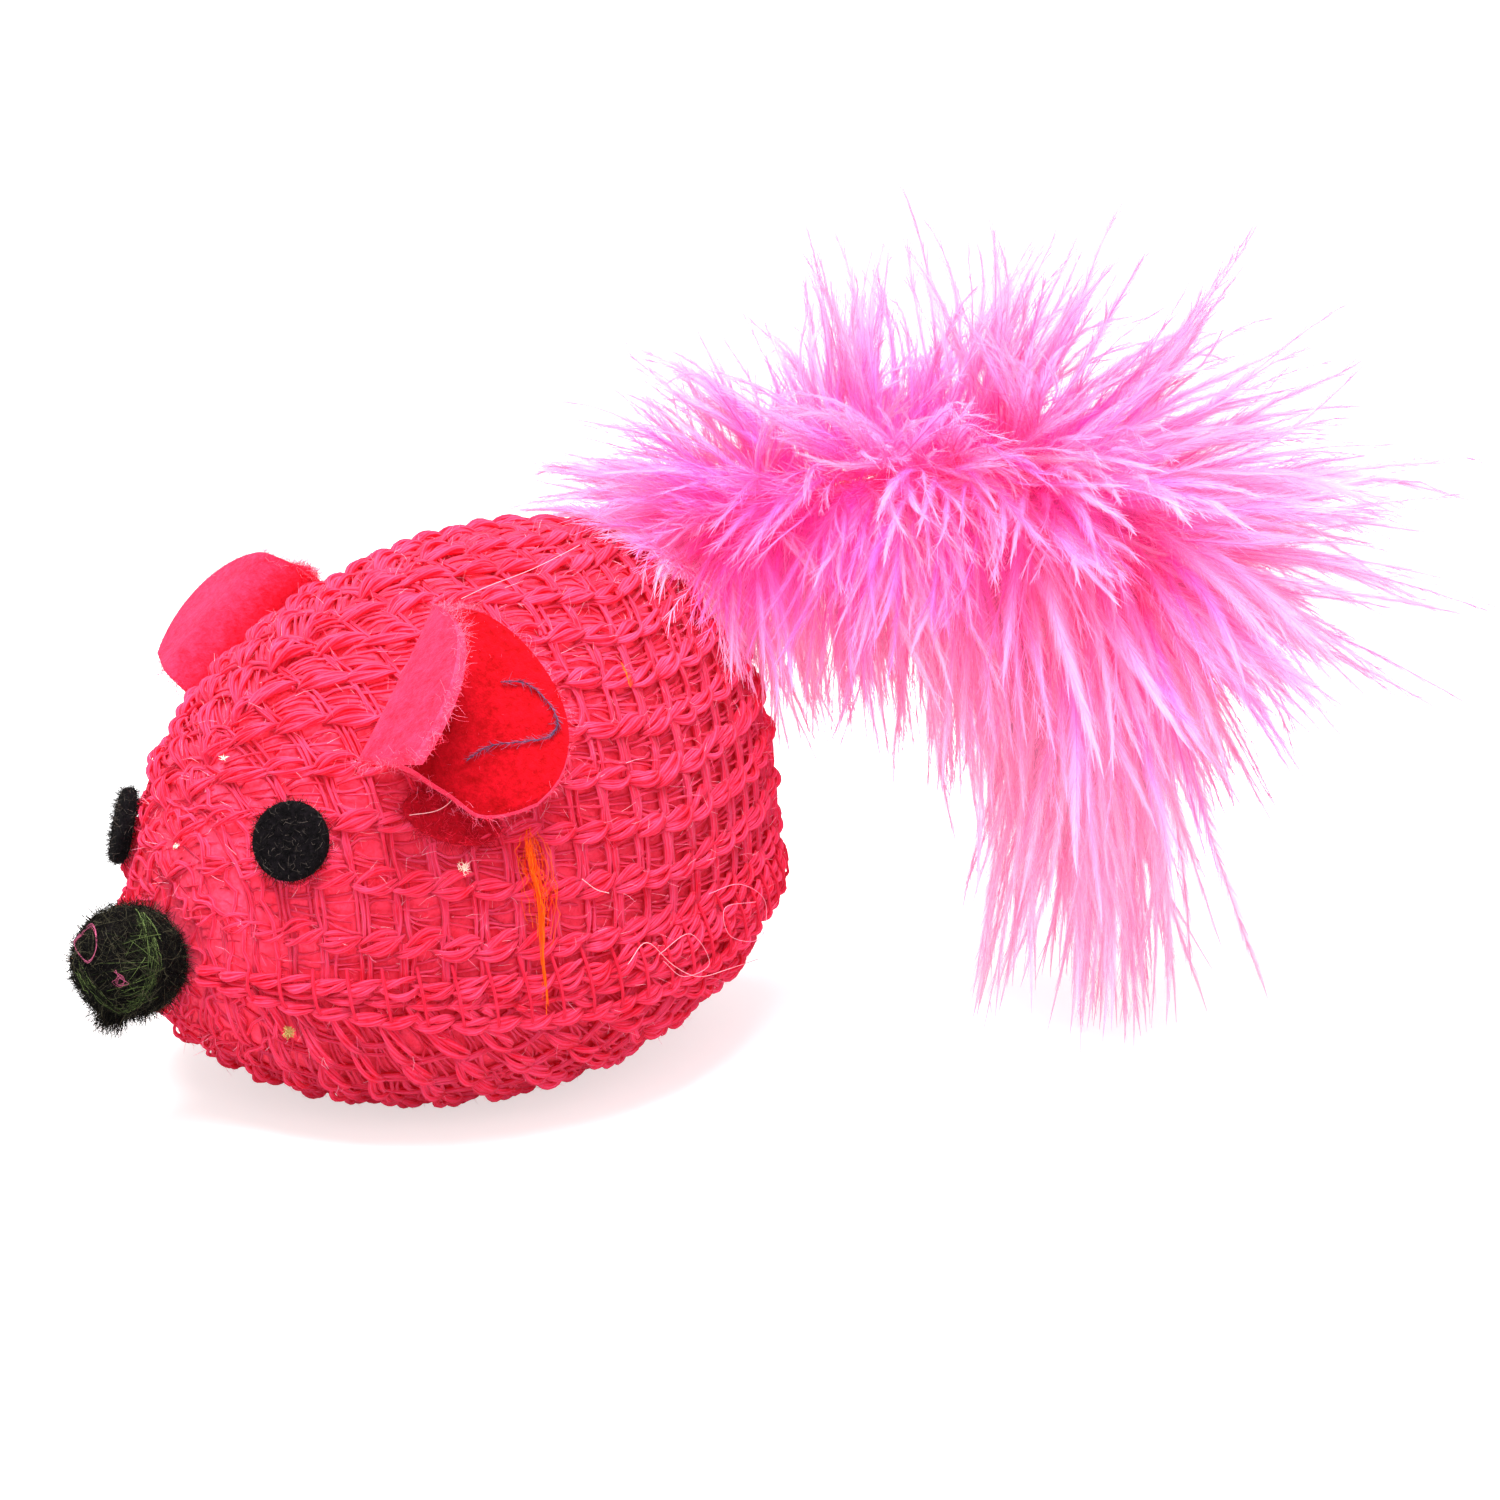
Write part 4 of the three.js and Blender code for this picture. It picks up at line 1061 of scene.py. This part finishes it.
def felt_finish(name, deep, lit, bloom):
    """Pressed felt: clotted fibres in two sizes, with a soft bloom of paler hair."""
    finish = Finish(name)
    grain = finish.noise(1500, 4, 0.75)
    pile = finish.noise(380, 3, 0.6)
    finish.surface(
        Base_Color=finish.colours(finish.spread(grain * 0.6 + pile * 0.4, 0.36, 0.64), deep, lit),
        Roughness=0.95,
        Specular_IOR_Level=0.05,
        Sheen_Weight=bloom,
        Sheen_Tint=shade(255, 110, 160),
        Normal=finish.relief(grain * 0.5 + pile * 0.5, 0.0006),
    )
    return finish


# The felt is the same red on both faces; the inside of the cup is painted much darker, as painted shade
# in the fold.
ear_inside_painted_shade = felt_finish("ear_felt_inside_painted_shade", shade(138, 2, 6), shade(184, 9, 26), 0.05)
ear_outside = felt_finish("ear_felt_outside", shade(236, 16, 40), shade(255, 46, 80), 0.3)
ear_rim = felt_finish("ear_felt_rim", shade(240, 30, 60), shade(255, 76, 116), 0.4)
ear_fibre = mixed_wool("ear_fibre", shade(255, 130, 166), shade(246, 34, 70))
for side, at in EARS.items():
    mirrored = side == "right"
    felt = felt_ear(f"ear_{side}", at, mirrored, ear_inside_painted_shade, ear_outside, ear_rim)
    rooted = rim_roots(at, mirrored, RIM_HAIRS)
    rim = hairs(rooted, 0.0003 + 0.0015 * chance.uniform(0, 1, RIM_HAIRS) ** 2, 0.00002, 0.7, 3)
    face = felt_nap(felt, 900, 0.9, (0.0004, 0.0012), 0.000014, 0.5)
    nap = strands(f"ear_{side}_nap", dyed(rim, 1.5) + dyed(face, 6.0), ear_fibre, f"ear_{side}", 3)
    for cloth in (felt, nap):
        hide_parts(f"ear_{side}")

# Below its foot the felt is pushed down into the knit: a felt patch lies over the knit there, painted
# deep red as the shade of the hollow under the ear.
TUCK_SHARE = 0.258
TUCK_TURN = math.radians(31)
tuck_felt_painted_shade = felt_finish("ear_felt_tucked_painted_shade", shade(138, 5, 16), shade(186, 14, 34), 0.05)
TUCK_SLANT = math.radians(-35)
tuck_form = (TUCK_SHARE, TUCK_TURN, 0.5, TUCK_SLANT, 0.0043, -0.0003, 0.0006)
tuck = felt_dot("ear_left_tuck", *tuck_form, tuck_felt_painted_shade)
tuck_fibre = mixed_wool("tuck_fibre", shade(236, 40, 70), shade(160, 8, 24))
tuck_hair = felt_nap(tuck, 1100, 0.8, (0.0005, 0.0014), 0.00003, 0.4)
tuck_nap = strands("ear_left_tuck_nap", dyed(tuck_hair, 1.5), tuck_fibre, sides=3)


def on_ear(side, spots, lift):
    """A soft line over an ear through spots given by reach and height, lifted off its outer face."""
    at = EARS[side]
    frame_of_ear = ear_frame(at)
    line = smooth_run([ear_place(at, frame_of_ear, *spot) + frame_of_ear[3] * lift for spot in spots], 6)
    return line * (-1, 1, 1) if side == "right" else line


# A blue-grey strand of down has blown into the left ear, and pale threads cling to the right one.
EAR_STRAND = (
    (0.55, 0.6), (0.75, 0.6), (0.88, 0.5), (0.92, 0.39), (0.86, 0.31), (0.7, 0.28), (0.52, 0.25),
    (0.42, 0.17),
)
blown = on_ear("left", EAR_STRAND, 0.0009)
blown_roots = [(p, unit(q - p)) for p, q in zip(blown, blown[1:])] * 7
blown_barbs = hairs(blown_roots, chance.uniform(0.0004, 0.0011, len(blown_roots)), 0.000022, 0.3, 3)
grey_down = mixed_wool("grey_down", shade(122, 96, 132), shade(52, 40, 66))
blown_runs = dyed([(blown, 0.000045), *blown_barbs], 1.0)
blown_strand = strands("blown_down", blown_runs, grey_down, "ear_left", 3)
EAR_THREADS = (
    ((0.06, 0.5), (0.14, 0.4), (0.22, 0.5), (0.14, 0.62), (0.07, 0.5), (0.12, 0.3), (0.04, 0.1),
     (0.02, -0.1)),
    ((0.02, 0.08), (0.16, 0.2), (0.3, 0.14), (0.42, 0.0)),
    ((0.05, 0.72), (0.3, 0.66), (0.5, 0.8), (0.55, 0.93)),
    ((0.03, 0.6), (0.22, 0.52), (0.34, 0.66), (0.52, 0.6), (0.62, 0.8)),
    ((0.03, 0.0), (0.12, 0.12), (0.2, 0.3), (0.1, 0.45)),
)
thread_wool = mixed_wool("thread_fibres", shade(255, 190, 196), shade(255, 140, 168))
thread_runs = [(on_ear("right", spots, -0.0008), 0.000034) for spots in EAR_THREADS]
ear_threads = strands("ear_right_threads", dyed(thread_runs, 1.0), thread_wool, "ear_right", 3)


# ---------------------------------------------------------------- tail
# Three downy feathers are bound at their quills with thread and glued into the gathered hole at the
# rump with a bead of clear glue. The long soft barbs sit in locks along each quill, thick with down
# and bare at their tips. EXTRA_LOCKS are the short locks round the quills' feet, those that drape over
# the rump, those close to the quills, and those that fill the plume out at its end and its sides.
TAIL_SIDE_TURN = math.radians(50)
START_RISE = math.radians(24)
END_FALL = math.radians(50)
QUILL_START = np.array([0.00203, 0.029746, 0.045436])
QUILL_LENGTH = 0.042
QUILL_SPACING = 0.00075
QUILL_STEPS = 60
LOCKS = 118
BARBS_IN_LOCK = 5
DOWN_CLEARANCE = 0.0008
TABLE_CLEARANCE = 0.0012
PIECES_OF_DOWN = 3
EXTRA_LOCKS = (
    dict(count=30, shares=(0, 0.14), turn=0, spread=2 * math.pi, sweep=(-1.6, 0.2), barb=0.021),
    dict(count=14, shares=(0, 0.07), turn=math.radians(-15), spread=2, sweep=(-1.5, -0.2), barb=0.021),
    dict(count=14, shares=(0.1, 1), turn=0, spread=2 * math.pi, sweep=(-0.2, 1), barb=0.016),
    dict(count=9, shares=(0.75, 1), turn=0, spread=2 * math.pi, sweep=(1.4, 2.4), barb=0.033),
    dict(count=9, shares=(0.3, 0.95), turn=0, spread=1.8, sweep=(0.4, 1.6), barb=0.031),
    dict(count=5, shares=(0.8, 1), turn=math.pi, spread=1.6, sweep=(0.8, 1.8), barb=0.034),
)
DOWN_SPACING = 0.00048
DOWN_LENGTH = 0.0046
DOWN_HAIR = 0.000029
VEIL_WIDTH = 0.055
VEIL_FIBRES = 2600
VEIL_SLANT = 0.005
SHAFT = 0.00007
LOCK_SPREAD = math.radians(150)
# How far the barbs droop, how much shorter they are across the plume, and where they turn pale.
DROOP = 0.45
FLATTENED = 0.3
PALE_AT = 0.008
STATION_SHARES = (0, 0.25, 0.5, 0.75, 1)
FEATHERS = {
    "upper": dict(
        sector=math.radians(90), barb=0.038, lengths=(0.5, 0.66, 0.8, 0.94, 1),
        sweep=((0, 0.25, 1), (-0.8, -0.2, 0.45)),
    ),
    "near": dict(
        sector=math.radians(-30), barb=0.040, lengths=(0.28, 0.4, 0.7, 0.92, 1),
        sweep=((0, 0.25, 1), (-0.8, -0.3, 0.9)),
    ),
    "far": dict(
        sector=math.radians(210), barb=0.040, lengths=(0.28, 0.4, 0.7, 0.92, 1),
        sweep=((0, 0.25, 1), (-0.8, -0.3, 0.9)),
    ),
}

tail_way = np.array([math.sin(TAIL_SIDE_TURN), math.cos(TAIL_SIDE_TURN), 0])
tail_across = np.array([tail_way[1], -tail_way[0], 0])
upright = np.array([0, 0, 1.0])


def slope_way(slope):
    return tail_way * math.cos(slope) + upright * math.sin(slope)


def quill_slope(share):
    return START_RISE - (START_RISE + END_FALL) * share ** 2


slopes = quill_slope((np.arange(QUILL_STEPS) + 0.5) / QUILL_STEPS)
steps = [slope_way(slope) * QUILL_LENGTH / QUILL_STEPS for slope in slopes]
quill_line = QUILL_START + np.vstack([np.zeros(3), np.cumsum(steps, axis=0)])


def quill_place(share, sector):
    at = np.clip(share, 0, 1) * QUILL_STEPS
    middle = np.array([np.interp(at, np.arange(QUILL_STEPS + 1), quill_line[:, k]) for k in range(3)])
    rise = slope_way(quill_slope(share) + math.pi / 2)
    return middle + QUILL_SPACING * (tail_across * math.cos(sector) + rise * math.sin(sector))


def barb_lock(sector, share, spread, sweep, length):
    """The barbs of one lock, which grow together from one place on a quill: points, and shades that
    run from 0, deep, to 1, pale."""
    lock_shade = chance.normal(0, 0.1)
    turn = sector + spread * chance.uniform(-0.5, 0.5)
    slope = quill_slope(share)
    radial = tail_across * math.cos(turn) + slope_way(slope + math.pi / 2) * math.sin(turn)
    droop = DROOP * (1 - math.sin(turn)) / 2
    way = unit(radial + slope_way(slope) * (sweep + chance.normal(0, 0.2)) - upright * droop)
    bend = chance.normal(0, 0.1, 3)
    reach = np.linspace(0, 1, 10)[:, None]
    flatness = 1 - FLATTENED * abs(way @ tail_across)
    barbs = []
    for _ in range(BARBS_IN_LOCK):
        aside = chance.normal(0, 0.17, 3) * reach * (1 - 0.7 * reach)
        own_bend = bend + chance.normal(0, 0.025, 3)
        wave = chance.normal(0, 0.02, 3) * np.sin(reach * chance.uniform(5, 9))
        path = way * reach + aside + (own_bend - upright * DROOP / 2) * reach ** 2 + wave * reach
        own_length = length * flatness * chance.uniform(0.84, 1.02)
        root = quill_place(share + chance.normal(0, 0.01), sector)
        fall = -own_length * path[:, 2].min()
        own_length *= min(1, (root[2] - TABLE_CLEARANCE) / max(fall, 1e-9))
        points = clear_of_body(root + own_length * path)
        paleness = reach[:, 0] * length / (PALE_AT + 0.5 * length) * flatness ** 2.5
        barbs.append((points, np.clip(paleness + lock_shade, 0, 1)))
    return barbs


def clear_of_body(points):
    """Points of the down, kept off the knit and off the table."""
    points = np.array(points)
    share = np.clip(points[:, 1] / BODY_LENGTH + REST_CENTRE_SHARE, 0.001, 0.999)
    beside = points[:, 1] < BODY_LENGTH * (1 - REST_CENTRE_SHARE)
    middle_height = SEAM_HEIGHT - sag(share)
    wide = BODY_WIDTH / 2 * swell(share, SIDE_SHAPE) + DOWN_CLEARANCE
    tall = CROWN_RISE * swell(share, CROWN_SHAPE) + DOWN_CLEARANCE
    rise = points[:, 2] - middle_height
    spread = np.sqrt((points[:, 0] / wide) ** 2 + (rise / tall) ** 2)
    push = np.where(beside & (rise > 0) & (spread < 1), 1 / np.maximum(spread, 0.3), 1)
    points[:, 0] *= push
    points[:, 2] = np.maximum(middle_height + rise * push, TABLE_CLEARANCE)
    return points


def veils(name, barbs, finish):
    """The finest fluff, too thin to draw hair by hair: a soft band along each barb, narrow at its tip.
    The mesh keeps the places across and along the bands, from which the finish draws the fibres."""
    places, kept, faces = [], {"across": [], "along": [], "tint": []}, []
    for points, shades in barbs:
        share = np.linspace(0, 1, len(points))
        side = unit(np.cross(np.gradient(points, axis=0), chance.normal(0, 1, 3)))
        half = VEIL_WIDTH * run_lengths(points)[-1] * ((0.5 + 0.5 * share) * (1 - share ** 2.5))[:, None]
        first = 3 * sum(len(rows) for rows in places)
        places.append(np.stack([points - side * half, points, points + side * half], axis=1))
        kept["across"].append(np.tile((-1.0, 0.0, 1.0), len(points)))
        kept["along"].append(np.repeat(run_lengths(points) + chance.uniform(0, 1), 3))
        kept["tint"].append(np.repeat(shades, 3))
        for low in range(first, first + 3 * (len(points) - 1), 3):
            faces += [(low, low + 1, low + 4, low + 3), (low + 1, low + 2, low + 5, low + 4)]
    mesh = bpy.data.meshes.new(name)
    mesh.from_pydata(np.concatenate(places).reshape(-1, 3), [], faces)
    for key, values in kept.items():
        mesh.attributes.new(key, "FLOAT", "POINT").data.foreach_set("value", np.concatenate(values))
    return piece(name, mesh, finish, body="tail_plume")


def down_on(points, tint):
    """The down on a barb: fine straight hairs in two ranks that lean towards its tip."""
    count = int(run_lengths(points)[-1] / DOWN_SPACING)
    along = chance.uniform(0.02, 0.93, count) ** 0.95
    at = along * (len(points) - 1)
    roots = np.array([np.interp(at, np.arange(len(points)), points[:, k]) for k in range(3)]).T
    tangents = unit(np.diff(points, axis=0))[at.astype(int)]
    side = unit(np.cross(tangents, unit(chance.normal(0, 1, 3)) + chance.normal(0, 0.45, (count, 3))))
    side *= chance.choice((-1, 1), count)[:, None]
    lean = (np.radians(chance.uniform(12, 50, count)) * (1 - 0.65 * along))[:, None]
    size = (DOWN_LENGTH * (1 - 0.5 * along) * chance.uniform(0.5, 1.1, count))[:, None]
    ends = roots + size * (tangents * np.cos(lean) + side * np.sin(lean))
    ends[:, 2] = np.maximum(ends[:, 2], 0.0002)
    shades = np.interp(at, np.arange(len(points)), tint)
    return [
        (np.array([root, end]), np.array([DOWN_HAIR, DOWN_HAIR * 0.5]), np.array([value, value + 0.1]))
        for root, end, value in zip(roots, ends, shades)
    ]


def down_finish(name):
    """Soft dyed down: deep pink and violet near the quills, pale at the tips. It also glows faintly in
    its own colour, a painted light that softens the shade between the hairs.
    """
    finish = Finish(name)
    tint = finish.attribute("tint", "Fac")
    cloud = finish.spread(finish.noise(75, 2, 0.5), 0.4, 0.6)
    core = finish.colours(cloud, shade(255, 54, 160), shade(252, 94, 214))
    middle_tone = finish.colours(cloud, shade(255, 138, 206), shade(255, 150, 222))
    inner = finish.colours(finish.spread(tint, 0.06, 0.46), core, middle_tone)
    whole = finish.colours(finish.spread(tint, 0.32, 0.78), inner, shade(255, 204, 231))
    finish.surface(
        Base_Color=whole,
        Roughness=0.8,
        Specular_IOR_Level=0.2,
        # Painted light: the down glows faintly in its own colour.
        Emission_Color=whole,
        Emission_Strength=0.2,
    )
    finish.let_through(shade(255, 160, 214), 0.5)
    return finish


feather_down = down_finish("feather_down")
feather_veil = down_finish("feather_veil")
across = feather_veil.attribute("across", "Fac")
beside = across.maths("ABSOLUTE", across, 0.0)
swept = (feather_veil.attribute("along", "Fac") - beside * VEIL_SLANT) * VEIL_FIBRES
lie = feather_veil.node("ShaderNodeCombineXYZ", values={"X": swept, "Y": across * 0.7})
fibres = feather_veil.noise(1.0, 3, 0.6, feather_veil.signal(lie))
feather_veil.fade(feather_veil.spread(fibres - beside * 0.44, 0.15, 0.5))

for name, form in FEATHERS.items():
    spine = np.array([quill_place(share, form["sector"]) for share in np.linspace(0, 1, 24)])
    quill_run = (spine, np.linspace(0.0005, 0.00018, 24), np.full(24, 0.3))
    fluffs = [strands(f"quill_{name}", [quill_run], feather_down, "tail_plume", 8)]
    locks, bands = [], []
    for _ in range(LOCKS):
        share = chance.uniform(0, 1) ** 0.8
        sweep = np.interp(share, *form["sweep"])
        length = form["barb"] * np.interp(share, STATION_SHARES, form["lengths"])
        length *= chance.uniform(0.86, 1.0)
        locks.append(barb_lock(form["sector"], share, LOCK_SPREAD, sweep, length))
    for kind in EXTRA_LOCKS:
        for _ in range(kind["count"]):
            share, sweep = chance.uniform(*kind["shares"]), chance.uniform(*kind["sweep"])
            length = kind["barb"] * chance.uniform(0.5, 1)
            locks.append(barb_lock(kind["turn"], share, kind["spread"], sweep, length))
    for group in range(PIECES_OF_DOWN):
        shafts, down = [], []
        for points, shades in [barb for barbs in locks[group::PIECES_OF_DOWN] for barb in barbs]:
            shafts.append((points, SHAFT * np.linspace(0.9, 0.35, len(points)), shades * 0.8))
            down += down_on(points, shades)
            bands.append((points, shades))
        fluffs.append(strands(f"barbs_{name}_{group}", shafts, feather_down, "tail_plume", 3))
        fluffs.append(strands(f"down_{name}_{group}", down, feather_down, "tail_plume", 3))
    fluffs.append(veils(f"veil_{name}", bands, feather_veil))
    for fluff in fluffs:
        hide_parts(f"tail_feather_{name}")

BINDING_THREAD = 0.00025
BINDING_RADIUS = 0.0018
coil = np.linspace(0, 1, 100)[:, None]
turns = coil * 4 * 2 * math.pi
coil_points = (
    QUILL_START
    + slope_way(START_RISE) * (0.0005 + 0.004 * coil)
    + BINDING_RADIUS * (tail_across * np.cos(turns) + slope_way(START_RISE + math.pi / 2) * np.sin(turns))
)
binding = strands("quill_binding", [(coil_points, BINDING_THREAD)], sewing_thread, "tail_plume", 8)
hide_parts("tail_binding_thread")

clear_glue = Finish("clear_glue")
clear_glue.surface(Base_Color=shade(240, 214, 214), Roughness=0.3, Coat_Weight=0.3)
bead_low, bead_high = (np.array(corner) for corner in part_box("tail_glue_bead"))
bead_radius = (bead_high - bead_low)[2] / 2
bead = ball("glue_bead", (bead_low + bead_high) / 2, bead_radius, clear_glue, "tail_base")
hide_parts("tail_glue_bead")


# ---------------------------------------------------------------- stray fibres
# Loose fibres from the workbench cling to the knit: an orange wisp below the ear, pale curls at the
# rump, and a few short white and yellow bits.
def laid(spots, lift=0.0006):
    return smooth_run([on_body(share, math.radians(turn), -lift) for share, turn in spots], 6)


def wisp(spots, count, widths, thickness):
    """Fibres that follow one line side by side, as far apart as the widths along it say."""
    runs = []
    line = laid(spots)
    at = np.linspace(0, 1, len(line))
    apart = np.interp(at, np.linspace(0, 1, len(widths)), widths)[:, None]
    for _ in range(count):
        first, last = sorted(chance.integers(0, len(line), 2))
        if last - first < 4:
            continue
        wander = (chance.normal(0, 0.8, 3) + chance.normal(0, 0.12, line.shape)) * apart
        runs.append(((line + wander)[first:last], thickness))
    return runs


orange_wool = mixed_wool("orange_fibres", shade(255, 104, 20), shade(246, 52, 8))
ORANGE_LINE = ((0.350, 25), (0.347, 20), (0.352, 14), (0.347, 7), (0.350, 2), (0.352, -4))
orange_runs = wisp(ORANGE_LINE, 26, (0.0003, 0.0003, 0.0002, 0.0001, 0.00014), 0.000036)
orange_runs += wisp(ORANGE_LINE[:4], 85, (0.0003, 0.0009, 0.0009, 0.0003), 0.000028)
orange_runs += wisp(((0.566, 46), (0.568, 43), (0.566, 40)), 14, (0.0003, 0.0002), 0.000025)
pale_wool = mixed_wool("pale_fibres", shade(255, 190, 196), shade(255, 140, 168))
CURLS = (
    ((0.640, 8), (0.717, 7), (0.792, 2), (0.779, -6), (0.690, 1), (0.677, 5), (0.762, 3)),
    ((0.476, 3), (0.511, 5), (0.561, 1), (0.615, -3), (0.692, -7), (0.806, -23)),
    ((0.533, 3), (0.596, 4), (0.638, -1), (0.581, -1), (0.541, 2)),
    ((0.412, 16), (0.432, 14), (0.452, 13)),
    ((0.392, 69), (0.437, 69), (0.509, 69), (0.605, 72)),
    ((0.262, 39), (0.268, 36), (0.262, 34), (0.240, 33), (0.208, 34)),
)
pale_runs = [(laid(spots, 0.001), 0.000034) for spots in CURLS]
white_wool = mixed_wool("white_fibres", shade(255, 250, 240), shade(250, 214, 180))
BITS = ((0.256, 22, 0.0011), (0.074, 79, 0.0005), (0.016, 84, 0.0005))
white_runs = []
for share, turn, size in BITS:
    root = on_body(share, math.radians(turn), -0.0003)
    tufted = [(root + chance.normal(0, size / 6, 3), np.array([0.3, 0.5, 0.8])) for _ in range(30)]
    white_runs += hairs(tufted, size * chance.uniform(0.3, 1, 30), 0.00003, 0.5)
yellow_wool = mixed_wool("yellow_fibres", shade(214, 190, 120), shade(170, 120, 60))
yellow_root = on_body(0.062, math.radians(-16), -0.0003)
yellow_roots = [(yellow_root, chance.normal(0, 1, 3)) for _ in range(60)]
yellow_runs = hairs(yellow_roots, np.full(60, 0.0007), 0.00005, 0.6)
for name, runs, finish in (
    ("orange_wisp", orange_runs, orange_wool),
    ("pale_curls", pale_runs, pale_wool),
    ("white_bits", white_runs, white_wool),
    ("yellow_bit", yellow_runs, yellow_wool),
):
    strands(name, dyed(runs, 1.0), finish, sides=3)


# ---------------------------------------------------------------- filling, pouch and glue
# Hidden inside are the loose fibre filling and the cloth pouch of dried catnip. Glue has soaked in
# behind the nose, the eyes and the ears, and takes on the red of what it holds.
fibre_fill = wool_finish("fibre_fill", shade(248, 244, 236), shade(222, 214, 200), 900)
pouch_cloth = wool_finish("pouch_cloth", shade(240, 232, 214), shade(214, 204, 184), 1600)
dried_herb = wool_finish("dried_herb", shade(140, 148, 84), shade(72, 82, 40), 700)
soaked_glue = Finish("soaked_glue")
soaked_glue.surface(
    Base_Color=soaked_glue.colours(soaked_glue.noise(600), shade(120, 10, 22), shade(168, 20, 38)),
    Roughness=0.4,
)
HIDDEN = {
    "upper_stuffing": fibre_fill,
    "belly_stuffing": fibre_fill,
    "pouch_top_sheet": pouch_cloth,
    "pouch_bottom_sheet": pouch_cloth,
    "catnip_filling": dried_herb,
    "nose_glue": soaked_glue,
    "eye_left_glue": soaked_glue,
    "eye_right_glue": soaked_glue,
    "ear_left_glue": soaked_glue,
    "ear_right_glue": soaked_glue,
}
for node, finish in HIDDEN.items():
    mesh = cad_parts[node].data
    mesh.materials.clear()
    mesh.materials.append(finish.block)
